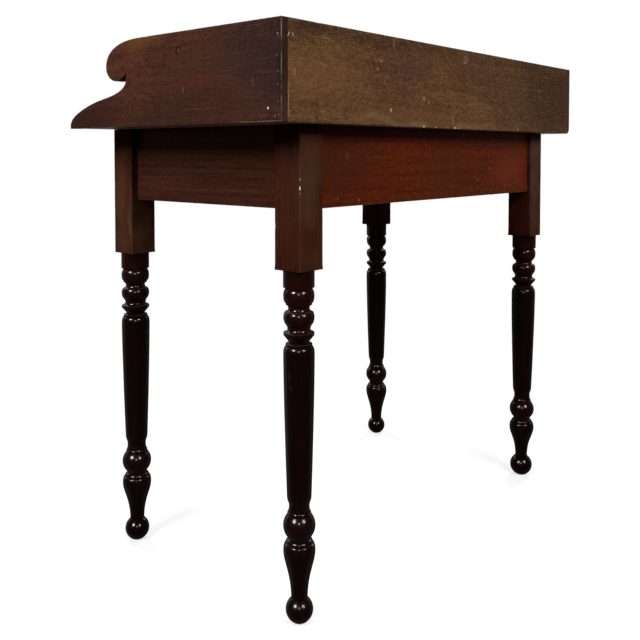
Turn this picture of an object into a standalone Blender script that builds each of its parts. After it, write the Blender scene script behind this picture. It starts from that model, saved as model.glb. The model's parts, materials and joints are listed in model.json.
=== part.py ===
"""Writing table with turned legs, one frieze drawer and a scroll-ended gallery on three sides.

Metres, +Z up. The front faces -Y. The origin is on the floor under the middle of the top.
"""

import math

import bmesh
import bpy
from mathutils import Matrix, Vector

# Overall sizes
TOP_WIDTH = 0.914  # across the outer faces of the gallery sides
TOP_DEPTH = 0.498  # from the noses of the gallery sides to the back
TOTAL_HEIGHT = 0.8735  # floor to the upper edge of the gallery
FIT = 0.0003  # gap between pieces that touch

# Top and gallery boards
TOP_THICKNESS = 0.020
TOP_SETBACK = 0.014  # front edge of the top behind the gallery noses
TOP_EDGE_RADIUS = 0.004
GALLERY_HEIGHT = 0.1385
GALLERY_SIDE_THICKNESS = 0.018
GALLERY_BACK_THICKNESS = 0.016
GALLERY_LAP = 0.0106  # end grain of the sides that shows beside the back board

# Scroll of the gallery sides: setbacks from the nose, heights from the underside, drops from the top
NOSE_HEIGHT = 0.0085
NOSE_SPRING_SETBACK = 0.004
NOSE_SPRING_RISE = 0.015
WAVE_SETBACK = 0.0993
WAVE_HEIGHT = 0.0475
WAVE_SLOPE = 0.156
WAVE_FRONT_REACH = 0.0445
WAVE_REAR_REACH = 0.0307
NECK_SETBACK = 0.1587
NECK_DROP = 0.0625
NECK_REACH = 0.016
CUSP_DROP = 0.0525
CUSP_REACH = 0.0045
LOBE_SETBACK = 0.1054
LOBE_DROP = 0.0405
LOBE_UPPER_REACH = 0.024
LOBE_LOWER_REACH = 0.013
LOBE_BASE_SETBACK = 0.131
LOBE_BASE_DROP = 0.0645
LOBE_BASE_REACH = 0.0125
CREST_SETBACK = 0.195
CREST_REACH = 0.062

# Base frame
LEG_SQUARE = 0.050
SIDE_OVERHANG = 0.071  # gallery sides beyond the posts
FRONT_OVERHANG = 0.025  # gallery noses before the front posts
BACK_OVERHANG = 0.031  # gallery back behind the back posts
LEG_TOP_GAP = 0.003  # the posts stop short of the top
APRON_HEIGHT = 0.123
APRON_THICKNESS = 0.020
SIDE_REVEAL = 0.013  # side aprons behind the posts' outer faces
BACK_REVEAL = 0.007
TENON_THICKNESS = 0.010
TENON_SHOULDER = 0.010  # apron below the tenon
TENON_HAUNCH = 0.023  # apron above the tenon
TENON_GAP = 0.002  # wood between two tenons that meet in a post
POST_WALL = 0.026  # wood of a post beyond the end of a cross tenon
TENON_ROOT = 0.008  # overlap that fuses a tenon to its rail

# Front rails
DRAWER_RAIL_THICKNESS = 0.022
TOP_RAIL_THICKNESS = 0.016
RAIL_SETBACK = 0.002  # rails and drawer behind the front faces of the posts
RAIL_TENON_INSET = 0.006
RAIL_TENON_WIDTH = 0.016
RAIL_TENON_THICKNESS = 0.012
DOVETAIL_NECK = 0.010
DOVETAIL_FLARE = 0.003

# Turned part of a leg, from the post down to the shaft
POST_BOTTOM = 0.520
POST_ROOT = 0.012  # turned stock carried up inside the post
COLLAR_RADIUS = 0.0235
COLLAR_LENGTH = 0.028
GROOVE_RADIUS = 0.0200
GROOVE_HALF = 0.0018
BEAD_RADIUS = 0.0233
UPPER_BEAD_RISE = 0.009
UPPER_BEAD_FALL = 0.0145
UPPER_BEAD_FOOT = 0.0182
COVE_RADIUS = 0.0150
COVE_LENGTH = 0.009
LOWER_BEAD_SHOULDER = 0.0172
LOWER_BEAD_RISE = 0.0095
LOWER_BEAD_FALL = 0.015
WAIST_RADIUS = 0.0160
RING_FLARE = 0.0045
RING_RADIUS = 0.0231
RING_EDGE = 0.002
RING_FALL = 0.0125
RING_NECK_RADIUS = 0.0152
RING_NECK_LENGTH = 0.002
SHOULDER_FILLET = 0.0176
SHOULDER_LENGTH = 0.0155
SHAFT_TOP_RADIUS = 0.0236
SHAFT_FOOT_RADIUS = 0.0183
SHAFT_SWELL = 1.25  # above 1 the shaft keeps its width longer and then tapers

# Turned part of a leg, heights from the floor up to the shaft
FOOT_RADIUS = 0.0203
FOOT_FLAT_RADIUS = 0.007
STEM_RADIUS = 0.0121
STEM_TRAIL = 0.042
VASE_RADIUS = 0.0240
VASE_LEAD = 0.016
VASE_HEIGHT = 0.106
VASE_FILLET_RADIUS = 0.0205
VASE_FILLET_STEP = 0.0008
VASE_FILLET_HEIGHT = 0.117
VASE_TOP_HEIGHT = 0.1235
NECKING_RADIUS = 0.0150
NECKING_LENGTH = 0.002
BALL_RADIUS = 0.0241
BALL_HEIGHT = 0.145
BALL_TOP_RADIUS = 0.0178
BALL_TOP_HEIGHT = 0.1625
ANKLE_RADIUS = 0.0154
ANKLE_HEIGHT = 0.1745
ANKLE_TOP_RADIUS = 0.0172
ANKLE_TOP_HEIGHT = 0.1855
SHAFT_FOOT_HEIGHT = 0.189

# What the drawer runs on
BEARER_LEDGE = 0.012  # runner and kicker beyond the inner faces of the drawer sides
GUIDE_HEIGHT = 0.016
STOP_PLACE = 0.200
STOP_LENGTH = 0.040
STOP_DEPTH = 0.015
STOP_HEIGHT = 0.005
GLUE_BLOCK_SIZE = 0.022
GLUE_BLOCK_LENGTH = 0.060
GLUE_BLOCK_PITCH = 0.220

# Screws that hold the top
SCREW_HEAD_RADIUS = 0.0045
SCREW_HEAD_HEIGHT = 0.003
SCREW_RIM = 0.0005  # thin edge of the head
SCREW_SHANK_RADIUS = 0.0022
SCREW_BITE = 0.012  # length in the top
SCREW_POINT = 0.005
KICKER_SCREW_INSET = 0.061  # from the posts
RAIL_SCREW_PLACE = 0.150  # from the middle of the rail

# Drawer
DRAWER_GAP = 0.0015  # round the drawer front
DRAWER_FRONT_THICKNESS = 0.020
DRAWER_SIDE_THICKNESS = 0.012
DRAWER_BACK_THICKNESS = 0.012
DRAWER_SIDE_GAP = 0.002
DRAWER_TOP_GAP = 0.003
DRAWER_BACK_ROOM = 0.031
DRAWER_BACK_DROP = 0.004  # drawer back below the top of the sides
TAIL_COUNT = 3
TAIL_LAP = 0.006  # wood of the drawer front before the tails
TAIL_SLOPE = 1 / 6
PIN_WIDTH = 0.006
GROOVE_UP = 0.010  # drawer bottom's groove above the lower edge of the sides
GROOVE_DEPTH = 0.005
PANEL_EDGE = 0.0044
PANEL_FIELD = 0.0036  # thicker middle of the drawer bottom
PANEL_BEVEL = 0.030
KNOB_PLACE = 0.175
KNOB_RADIUS = 0.0185
KNOB_FACE_RADIUS = 0.010
KNOB_DISH = 0.003
KNOB_PROJECTION = 0.022
KNOB_CAP_HEIGHT = 0.010
KNOB_NECK_RADIUS = 0.008
KNOB_NECK_HEIGHT = 0.006
KNOB_BASE_RADIUS = 0.0115
KNOB_TENON_RADIUS = 0.006

# Facets
LEG_SIDES = 20
SMALL_SIDES = 16
SCREW_SIDES = 10
ARC_FACETS = 3
SMALL_ARC_FACETS = 2
OGEE_FACETS = 5
SHAFT_FACETS = 5
FOOT_FACETS = 7
SCROLL_RESOLUTION = 6
CUT_MARGIN = 0.001  # a cutter runs this far past the face that it opens

# Colours (linear), roughness and metallic value
WALNUT_LEG = ((0.018, 0.006, 0.004), 0.30, 0.0)
SIDE_BOARD = ((0.045, 0.020, 0.012), 0.45, 0.0)
BACK_BOARD = ((0.095, 0.052, 0.024), 0.55, 0.0)
RED_APRON = ((0.075, 0.015, 0.007), 0.50, 0.0)
INNER_PINE = ((0.250, 0.150, 0.075), 0.70, 0.0)
IRON = ((0.060, 0.055, 0.050), 0.50, 1.0)

# Places worked out from the sizes
BACK_PLANE = TOP_DEPTH / 2
NOSE_PLANE = -TOP_DEPTH / 2
SIDE_PLANE = TOP_WIDTH / 2
SIDE_INNER = SIDE_PLANE - GALLERY_SIDE_THICKNESS
UNDERSIDE = TOTAL_HEIGHT - GALLERY_HEIGHT
BEARING = UNDERSIDE - FIT  # top of the frame, where the top rests
POST_TOP = UNDERSIDE - LEG_TOP_GAP
POST_OUT = SIDE_PLANE - SIDE_OVERHANG
POST_IN = POST_OUT - LEG_SQUARE
LEG_BACK = BACK_PLANE - BACK_OVERHANG
LEG_FRONT = NOSE_PLANE + FRONT_OVERHANG
BACK_POST_IN = LEG_BACK - LEG_SQUARE
FRONT_POST_IN = LEG_FRONT + LEG_SQUARE
APRON_BOTTOM = UNDERSIDE - APRON_HEIGHT
SIDE_APRON_OUT = POST_OUT - SIDE_REVEAL
SIDE_APRON_IN = SIDE_APRON_OUT - APRON_THICKNESS
BACK_APRON_OUT = LEG_BACK - BACK_REVEAL
BACK_APRON_IN = BACK_APRON_OUT - APRON_THICKNESS
RAIL_FRONT = LEG_FRONT + RAIL_SETBACK
RAIL_TENON_FRONT = RAIL_FRONT + RAIL_TENON_INSET
RAIL_TENON_BACK = RAIL_TENON_FRONT + RAIL_TENON_WIDTH
DRAWER_RAIL_TOP = APRON_BOTTOM + DRAWER_RAIL_THICKNESS
TOP_RAIL_BOTTOM = UNDERSIDE - TOP_RAIL_THICKNESS
CROSS_TENON = LEG_SQUARE - POST_WALL
DRAWER_FACE = RAIL_FRONT
DRAWER_FRONT_IN = DRAWER_FACE + DRAWER_FRONT_THICKNESS
DRAWER_REAR = BACK_APRON_IN - DRAWER_BACK_ROOM
DRAWER_OUT = POST_IN - DRAWER_SIDE_GAP
DRAWER_IN = DRAWER_OUT - DRAWER_SIDE_THICKNESS
DRAWER_LOW = DRAWER_RAIL_TOP + FIT
DRAWER_HIGH = TOP_RAIL_BOTTOM - DRAWER_TOP_GAP
DRAWER_FRONT_LOW = DRAWER_RAIL_TOP + DRAWER_GAP
DRAWER_FRONT_HIGH = TOP_RAIL_BOTTOM - DRAWER_GAP
GROOVE_LOW = DRAWER_LOW + GROOVE_UP
PANEL_LOW = GROOVE_LOW + FIT
PANEL_HIGH = PANEL_LOW + PANEL_EDGE
GROOVE_HIGH = PANEL_HIGH + FIT
DRAWER_BACK_LOW = GROOVE_HIGH
DRAWER_BACK_HIGH = DRAWER_HIGH - DRAWER_BACK_DROP
BEARER_IN = DRAWER_IN - BEARER_LEDGE
BEARER_OUT = SIDE_APRON_IN - FIT

UPRIGHT = (math.pi / 2, 0.0, math.pi / 2)  # turns a flat outline so that it reads depth and height
SIDES = {"left": -1, "right": 1}

for old in list(bpy.data.objects):
    bpy.data.objects.remove(old, do_unlink=True)

table = bpy.data.collections.new("writing_table")
cutters = bpy.data.collections.new("cutters")
bpy.context.scene.collection.children.link(table)
bpy.context.scene.collection.children.link(cutters)


def add_empty(name, location):
    """An empty that carries the pieces of one moving body."""
    empty = bpy.data.objects.new(name, None)
    empty.location = location
    empty.empty_display_size = LEG_SQUARE
    table.objects.link(empty)
    return empty


frame_body = add_empty("table_frame", (0, 0, 0))
drawer_body = add_empty("drawer_slide", (0, DRAWER_FACE, DRAWER_LOW))


def finish(piece, look):
    """Give a piece its own plain material."""
    colour, roughness, metallic = look
    material = bpy.data.materials.new(piece.name)
    material.use_nodes = True
    shader = material.node_tree.nodes["Principled BSDF"]
    shader.inputs["Base Color"].default_value = (*colour, 1.0)
    shader.inputs["Roughness"].default_value = roughness
    shader.inputs["Metallic"].default_value = metallic
    piece.data.materials.clear()
    piece.data.materials.append(material)


def carry(piece, body):
    """Parent a piece to its body without moving it."""
    piece.parent = body
    piece.matrix_parent_inverse = Matrix.Translation(body.location).inverted()


def add_part(piece, look, body=None):
    """Enter a finished piece in the table's collection."""
    table.objects.link(piece)
    finish(piece, look)
    carry(piece, body or frame_body)
    return piece


def combine(piece, tool, operation):
    """Cut a tool out of a piece, or fuse it on, and put the tool away."""
    cutters.objects.link(tool)
    tool.hide_render = True
    tool.display_type = "WIRE"
    carry(tool, piece.parent)
    boolean = piece.modifiers.new(tool.name, "BOOLEAN")
    boolean.operation = operation
    boolean.solver = "EXACT"
    boolean.object = tool


def cut(piece, tool):
    combine(piece, tool, "DIFFERENCE")


def fuse(piece, tool):
    combine(piece, tool, "UNION")


def block(name, corners):
    """A board from two opposite corners, in any order."""
    low = Vector(map(min, *corners))
    high = Vector(map(max, *corners))
    shape = bmesh.new()
    bmesh.ops.create_cube(shape, size=1.0)
    bmesh.ops.scale(shape, vec=high - low, verts=shape.verts)
    mesh = bpy.data.meshes.new(name)
    shape.to_mesh(mesh)
    shape.free()
    piece = bpy.data.objects.new(name, mesh)
    piece.location = (low + high) / 2
    return piece


def grown(corners, by):
    """Corners of a box made larger on every side."""
    low = Vector(map(min, *corners))
    high = Vector(map(max, *corners))
    margin = Vector((by, by, by))
    return low - margin, high + margin


def from_curve(name, curve, location, rotation):
    """A flat curve with thickness, turned into a closed mesh."""
    holder = bpy.data.objects.new(name, curve)
    holder.location = location
    holder.rotation_euler = rotation
    cutters.objects.link(holder)
    bpy.context.view_layer.update()
    graph = bpy.context.evaluated_depsgraph_get()
    mesh = bpy.data.meshes.new_from_object(holder.evaluated_get(graph))
    shape = bmesh.new()
    shape.from_mesh(mesh)
    bmesh.ops.remove_doubles(shape, verts=shape.verts, dist=0.00001)
    bmesh.ops.recalc_face_normals(shape, faces=shape.faces)
    shape.to_mesh(mesh)
    shape.free()
    place = holder.matrix_world.copy()
    bpy.data.objects.remove(holder, do_unlink=True)
    piece = bpy.data.objects.new(name, mesh)
    piece.matrix_world = place
    return piece


def flat_curve(name, thickness):
    curve = bpy.data.curves.new(name, "CURVE")
    curve.dimensions = "2D"
    curve.fill_mode = "BOTH"
    curve.extrude = thickness / 2
    return curve


def prism(name, outline, ends, upright=True):
    """A straight-sided outline carried between two ends, along X when upright and else along Z."""
    curve = flat_curve(name, abs(ends[1] - ends[0]))
    spline = curve.splines.new("POLY")
    spline.points.add(len(outline) - 1)
    for point, (across, along) in zip(spline.points, outline):
        point.co = (across, along, 0.0, 1.0)
    spline.use_cyclic_u = True
    middle = (ends[0] + ends[1]) / 2
    if upright:
        return from_curve(name, curve, (middle, 0, 0), UPRIGHT)
    return from_curve(name, curve, (0, 0, middle), (0, 0, 0))


def turning(name, profile, sides, location, rotation=(0, 0, 0)):
    """A turned piece from a profile of radii and heights, top to bottom."""
    mesh = bpy.data.meshes.new(name)
    shape = bmesh.new()
    verts = [shape.verts.new((radius, 0, height)) for radius, height in profile]
    for upper, lower in zip(verts, verts[1:]):
        shape.edges.new((upper, lower))
    shape.to_mesh(mesh)
    shape.free()
    piece = bpy.data.objects.new(name, mesh)
    piece.location = location
    piece.rotation_euler = rotation
    screw = piece.modifiers.new("lathe", "SCREW")
    screw.steps = sides
    screw.render_steps = sides
    screw.use_merge_vertices = True
    screw.merge_threshold = 0.00005
    screw.use_smooth_shade = True
    return piece


def quarter(start, end, leaves, facets=ARC_FACETS):
    """Quarter of an ellipse between two profile points, leaving along the radius or along the axis."""
    points = []
    for step in range(1, facets + 1):
        angle = math.pi / 2 * step / facets
        early, late = math.sin(angle), 1 - math.cos(angle)
        outward, downward = (early, late) if leaves == "radius" else (late, early)
        radius = start[0] + (end[0] - start[0]) * outward
        height = start[1] + (end[1] - start[1]) * downward
        points.append((radius, height))
    return points


def ogee(start, end, lead, trail):
    """Reverse curve down a profile, upright at both ends."""
    points = []
    for step in range(1, OGEE_FACETS + 1):
        t = step / OGEE_FACETS
        s = 1 - t
        radius = (s**3 + 3 * s * s * t) * start[0] + (3 * s * t * t + t**3) * end[0]
        upper = s**3 * start[1] + 3 * s * s * t * (start[1] - lead)
        lower = 3 * s * t * t * (end[1] + trail) + t**3 * end[1]
        points.append((radius, upper + lower))
    return points


def upper_turning():
    """Collar, two beads, ring and shoulder, from inside the post down to the shaft."""
    groove = POST_BOTTOM - COLLAR_LENGTH
    upper_crown = groove - UPPER_BEAD_RISE
    upper_foot = upper_crown - UPPER_BEAD_FALL
    cove = upper_foot - COVE_LENGTH / 2
    lower_top = upper_foot - COVE_LENGTH
    lower_crown = lower_top - LOWER_BEAD_RISE
    waist = lower_crown - LOWER_BEAD_FALL
    ring_top = waist - RING_FLARE
    ring_edge = ring_top - RING_EDGE
    ring_foot = ring_edge - RING_FALL
    shoulder = ring_foot - RING_NECK_LENGTH
    outline = [(0.0, POST_BOTTOM + POST_ROOT), (COLLAR_RADIUS, POST_BOTTOM + POST_ROOT)]
    outline.append((COLLAR_RADIUS, groove + GROOVE_HALF))
    outline.append((GROOVE_RADIUS, groove))
    outline += quarter(outline[-1], (BEAD_RADIUS, upper_crown), "radius")
    outline += quarter(outline[-1], (UPPER_BEAD_FOOT, upper_foot), "axis")
    outline += quarter(outline[-1], (COVE_RADIUS, cove), "radius", SMALL_ARC_FACETS)
    outline += quarter(outline[-1], (LOWER_BEAD_SHOULDER, lower_top), "axis", SMALL_ARC_FACETS)
    outline += quarter(outline[-1], (BEAD_RADIUS, lower_crown), "radius")
    outline += ogee(outline[-1], (WAIST_RADIUS, waist), LOWER_BEAD_FALL / 2, LOWER_BEAD_FALL / 2)
    outline += quarter(outline[-1], (RING_RADIUS, ring_top), "axis", SMALL_ARC_FACETS)
    outline.append((RING_RADIUS, ring_edge))
    outline.append((RING_NECK_RADIUS, ring_foot))
    outline.append((RING_NECK_RADIUS, shoulder))
    outline.append((SHOULDER_FILLET, shoulder))
    outline += quarter(outline[-1], (SHAFT_TOP_RADIUS, shoulder - SHOULDER_LENGTH), "radius")
    return outline


def shaft(start):
    """Long taper with a slight swell, from the shoulder to the ankle."""
    points = []
    for step in range(1, SHAFT_FACETS + 1):
        share = step / SHAFT_FACETS
        radius = start[0] + (SHAFT_FOOT_RADIUS - start[0]) * share**SHAFT_SWELL
        points.append((radius, start[1] + (SHAFT_FOOT_HEIGHT - start[1]) * share))
    return points


def lower_turning():
    """Ankle, ball, vase and ball foot, down to the small flat that stands on the floor."""
    outline = [(ANKLE_TOP_RADIUS, ANKLE_TOP_HEIGHT)]
    outline += quarter(outline[-1], (ANKLE_RADIUS, ANKLE_HEIGHT), "radius", SMALL_ARC_FACETS)
    outline += quarter(outline[-1], (BALL_TOP_RADIUS, BALL_TOP_HEIGHT), "axis", SMALL_ARC_FACETS)
    outline += quarter(outline[-1], (BALL_RADIUS, BALL_HEIGHT), "radius")
    outline += quarter(outline[-1], (NECKING_RADIUS, VASE_TOP_HEIGHT + NECKING_LENGTH), "axis")
    outline.append((NECKING_RADIUS, VASE_TOP_HEIGHT))
    outline += quarter(outline[-1], (VASE_FILLET_RADIUS, VASE_FILLET_HEIGHT), "radius", SMALL_ARC_FACETS)
    outline.append((VASE_FILLET_RADIUS + VASE_FILLET_STEP, VASE_FILLET_HEIGHT - VASE_FILLET_STEP))
    outline += quarter(outline[-1], (VASE_RADIUS, VASE_HEIGHT), "radius")
    centre = math.sqrt(FOOT_RADIUS**2 - FOOT_FLAT_RADIUS**2)
    start = math.asin(STEM_RADIUS / FOOT_RADIUS)
    end = math.pi - math.asin(FOOT_FLAT_RADIUS / FOOT_RADIUS)
    ball_top = centre + FOOT_RADIUS * math.cos(start)
    outline += ogee(outline[-1], (STEM_RADIUS, ball_top), VASE_LEAD, STEM_TRAIL)
    for step in range(1, FOOT_FACETS):
        angle = start + (end - start) * step / FOOT_FACETS
        outline.append((FOOT_RADIUS * math.sin(angle), centre + FOOT_RADIUS * math.cos(angle)))
    outline += [(FOOT_FLAT_RADIUS, 0.0), (0.0, 0.0)]
    return outline


def leg_profile():
    upper = upper_turning()
    return upper + shaft(upper[-1]) + lower_turning()


def side_tenon(side, end):
    """Corners of a side apron's tenon in the front (end -1) or back (end 1) post."""
    middle = side * (SIDE_APRON_OUT + SIDE_APRON_IN) / 2
    if end > 0:
        shoulder = BACK_POST_IN
        tip = BACK_APRON_OUT - (APRON_THICKNESS + TENON_THICKNESS) / 2 - TENON_GAP
    else:
        shoulder = FRONT_POST_IN
        tip = RAIL_TENON_BACK + TENON_GAP
    low = Vector((middle - TENON_THICKNESS / 2, shoulder - end * TENON_ROOT, APRON_BOTTOM + TENON_SHOULDER))
    high = Vector((middle + TENON_THICKNESS / 2, tip, UNDERSIDE - TENON_HAUNCH))
    return low, high


def back_tenon(side):
    """Corners of the back apron's tenon in one back post."""
    middle = (BACK_APRON_OUT + BACK_APRON_IN) / 2
    root = side * (POST_IN - TENON_ROOT)
    tip = side * (POST_IN + CROSS_TENON)
    low = Vector((root, middle - TENON_THICKNESS / 2, APRON_BOTTOM + TENON_SHOULDER))
    high = Vector((tip, middle + TENON_THICKNESS / 2, UNDERSIDE - TENON_HAUNCH))
    return low, high


def rail_tenon(side):
    """Corners of the drawer rail's tenon in one front post."""
    middle = (APRON_BOTTOM + DRAWER_RAIL_TOP) / 2
    root = side * (POST_IN - TENON_ROOT)
    tip = side * (POST_IN + CROSS_TENON)
    low = Vector((root, RAIL_TENON_FRONT, middle - RAIL_TENON_THICKNESS / 2))
    high = Vector((tip, RAIL_TENON_BACK, middle + RAIL_TENON_THICKNESS / 2))
    return low, high


def rail_dovetail(side, root, gap=0.0):
    """Plan of the top rail's dovetail in one front post, from the root out to the tip and back."""
    middle = (RAIL_TENON_FRONT + RAIL_TENON_BACK) / 2
    narrow = DOVETAIL_NECK / 2 + gap
    wide = narrow + DOVETAIL_FLARE
    neck = side * root
    tip = side * (POST_IN + CROSS_TENON + gap)
    return [
        (neck, middle - side * narrow),
        (tip, middle - side * wide),
        (tip, middle + side * wide),
        (neck, middle + side * narrow),
    ]


def make_legs():
    """Four legs: a square post over a turned shaft, mortised for the aprons and rails."""
    profile = leg_profile()
    for side_name, side in SIDES.items():
        for end_name, end in (("front", -1), ("back", 1)):
            name = f"leg_{end_name}_{side_name}"
            outer = LEG_BACK if end > 0 else LEG_FRONT
            x, y = side * (POST_OUT - LEG_SQUARE / 2), outer - end * LEG_SQUARE / 2
            leg = add_part(turning(name, profile, LEG_SIDES, (x, y, 0)), WALNUT_LEG)
            half = LEG_SQUARE / 2
            post = Vector((x - half, y - half, POST_BOTTOM)), Vector((x + half, y + half, POST_TOP))
            fuse(leg, block(f"{name}_post", post))
            cut(leg, block(f"{name}_side_mortise", grown(side_tenon(side, end), FIT)))
            if end > 0:
                cut(leg, block(f"{name}_back_mortise", grown(back_tenon(side), FIT)))
                continue
            cut(leg, block(f"{name}_rail_mortise", grown(rail_tenon(side), FIT)))
            socket = rail_dovetail(side, POST_IN - CUT_MARGIN, FIT)
            heights = TOP_RAIL_BOTTOM - FIT, UNDERSIDE + CUT_MARGIN
            cut(leg, prism(f"{name}_dovetail_socket", socket, heights, upright=False))


def make_aprons():
    """Side and back aprons, tenoned into the posts."""
    for side_name, side in SIDES.items():
        name = f"side_apron_{side_name}"
        low = Vector((side * SIDE_APRON_IN, FRONT_POST_IN + FIT, APRON_BOTTOM))
        high = Vector((side * SIDE_APRON_OUT, BACK_POST_IN - FIT, BEARING))
        apron = add_part(block(name, (low, high)), RED_APRON)
        fuse(apron, block(f"{name}_front_tenon", side_tenon(side, -1)))
        fuse(apron, block(f"{name}_back_tenon", side_tenon(side, 1)))
    low = Vector((FIT - POST_IN, BACK_APRON_IN, APRON_BOTTOM))
    high = Vector((POST_IN - FIT, BACK_APRON_OUT, BEARING))
    apron = add_part(block("back_apron", (low, high)), RED_APRON)
    for side_name, side in SIDES.items():
        fuse(apron, block(f"back_apron_{side_name}_tenon", back_tenon(side)))


def make_front_rails():
    """Drawer rail tenoned into the front posts, and top rail dovetailed down into them."""
    low = Vector((FIT - POST_IN, RAIL_FRONT, APRON_BOTTOM))
    high = Vector((POST_IN - FIT, FRONT_POST_IN, DRAWER_RAIL_TOP))
    rail = add_part(block("drawer_rail", (low, high)), RED_APRON)
    for side_name, side in SIDES.items():
        fuse(rail, block(f"drawer_rail_{side_name}_tenon", rail_tenon(side)))
    end = POST_IN - FIT
    outline = [(-end, RAIL_FRONT), (end, RAIL_FRONT)]
    outline += rail_dovetail(1, end)
    outline += [(end, FRONT_POST_IN), (-end, FRONT_POST_IN)]
    outline += rail_dovetail(-1, end)
    rail = add_part(prism("top_rail", outline, (TOP_RAIL_BOTTOM, BEARING), upright=False), RED_APRON)
    middle = (RAIL_FRONT + FRONT_POST_IN) / 2
    for side_name, side in SIDES.items():
        place = side * RAIL_SCREW_PLACE, middle
        cut(rail, screw_shape(f"top_rail_{side_name}_screw_hole", place, FIT))


def make_bearers():
    """Runners, guides and kickers for the drawer, with the stops on the drawer rail."""
    front, back = FRONT_POST_IN + FIT, BACK_POST_IN - FIT
    for side_name, side in SIDES.items():
        inner, outer = side * BEARER_IN, side * BEARER_OUT
        runner = Vector((inner, front, APRON_BOTTOM)), Vector((outer, back, DRAWER_RAIL_TOP))
        add_part(block(f"drawer_runner_{side_name}", runner), INNER_PINE)
        guide_low = DRAWER_RAIL_TOP + FIT
        guide = Vector((side * POST_IN, front, guide_low)), Vector((outer, back, guide_low + GUIDE_HEIGHT))
        add_part(block(f"drawer_guide_{side_name}", guide), INNER_PINE)
        kicker = Vector((inner, front, TOP_RAIL_BOTTOM)), Vector((outer, back, BEARING))
        piece = add_part(block(f"drawer_kicker_{side_name}", kicker), INNER_PINE)
        for end_name, place in kicker_screw_places(side):
            cut(piece, screw_shape(f"kicker_{side_name}_{end_name}_screw_hole", place, FIT))
        low = Vector((side * STOP_PLACE - STOP_LENGTH / 2, DRAWER_FRONT_IN + FIT, DRAWER_RAIL_TOP + FIT))
        high = low + Vector((STOP_LENGTH, STOP_DEPTH, STOP_HEIGHT))
        add_part(block(f"drawer_stop_{side_name}", (low, high)), INNER_PINE)


def make_glue_blocks():
    """Three-cornered blocks rubbed into the angle of the back apron and the top."""
    heel = BACK_APRON_IN - FIT
    outline = [(heel, BEARING), (heel - GLUE_BLOCK_SIZE, BEARING), (heel, BEARING - GLUE_BLOCK_SIZE)]
    for name, place in (("left", -1), ("middle", 0), ("right", 1)):
        middle = place * GLUE_BLOCK_PITCH
        ends = middle - GLUE_BLOCK_LENGTH / 2, middle + GLUE_BLOCK_LENGTH / 2
        add_part(prism(f"glue_block_{name}", outline, ends), INNER_PINE)


def screw_shape(name, place, gap=0.0):
    """A flat-headed wood screw driven up into the top, or its hole when a gap is given."""
    tip = UNDERSIDE + SCREW_BITE + gap
    rim = TOP_RAIL_BOTTOM + SCREW_RIM + gap
    face = TOP_RAIL_BOTTOM - gap
    shank = SCREW_SHANK_RADIUS + gap
    head = SCREW_HEAD_RADIUS + gap
    profile = [(0.0, tip), (shank, tip - SCREW_POINT), (shank, rim + SCREW_HEAD_HEIGHT)]
    profile += [(head, rim), (head, face), (0.0, face)]
    return turning(name, profile, SCREW_SIDES, (*place, 0))


def kicker_screw_places(side):
    """Where the two screws of a kicker stand."""
    across = side * (BEARER_IN + BEARER_OUT) / 2
    front, back = FRONT_POST_IN + KICKER_SCREW_INSET, BACK_POST_IN - KICKER_SCREW_INSET
    return ("front", (across, front)), ("back", (across, back))


def top_screws():
    """Names and places of the six screws that hold the top."""
    middle = (RAIL_FRONT + FRONT_POST_IN) / 2
    for side_name, side in SIDES.items():
        yield f"top_screw_rail_{side_name}", (side * RAIL_SCREW_PLACE, middle)
        for end_name, place in kicker_screw_places(side):
            yield f"top_screw_{end_name}_{side_name}", place


def make_top():
    """Writing top with an eased front edge, held from below by six screws."""
    front, back = NOSE_PLANE + TOP_SETBACK, BACK_PLANE - GALLERY_BACK_THICKNESS - FIT
    high = UNDERSIDE + TOP_THICKNESS
    ease = TOP_EDGE_RADIUS
    outline = [(back, UNDERSIDE), (back, high), (front + ease, high)]
    outline += quarter((front + ease, high), (front, high - ease), "radius")
    outline.append((front, UNDERSIDE + ease))
    outline += quarter((front, UNDERSIDE + ease), (front + ease, UNDERSIDE), "axis")
    half = SIDE_INNER - FIT
    top = add_part(prism("writing_top", outline, (-half, half)), SIDE_BOARD)
    for name, place in top_screws():
        add_part(screw_shape(name, place), IRON)
        cut(top, screw_shape(f"{name}_hole", place, FIT))


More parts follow.
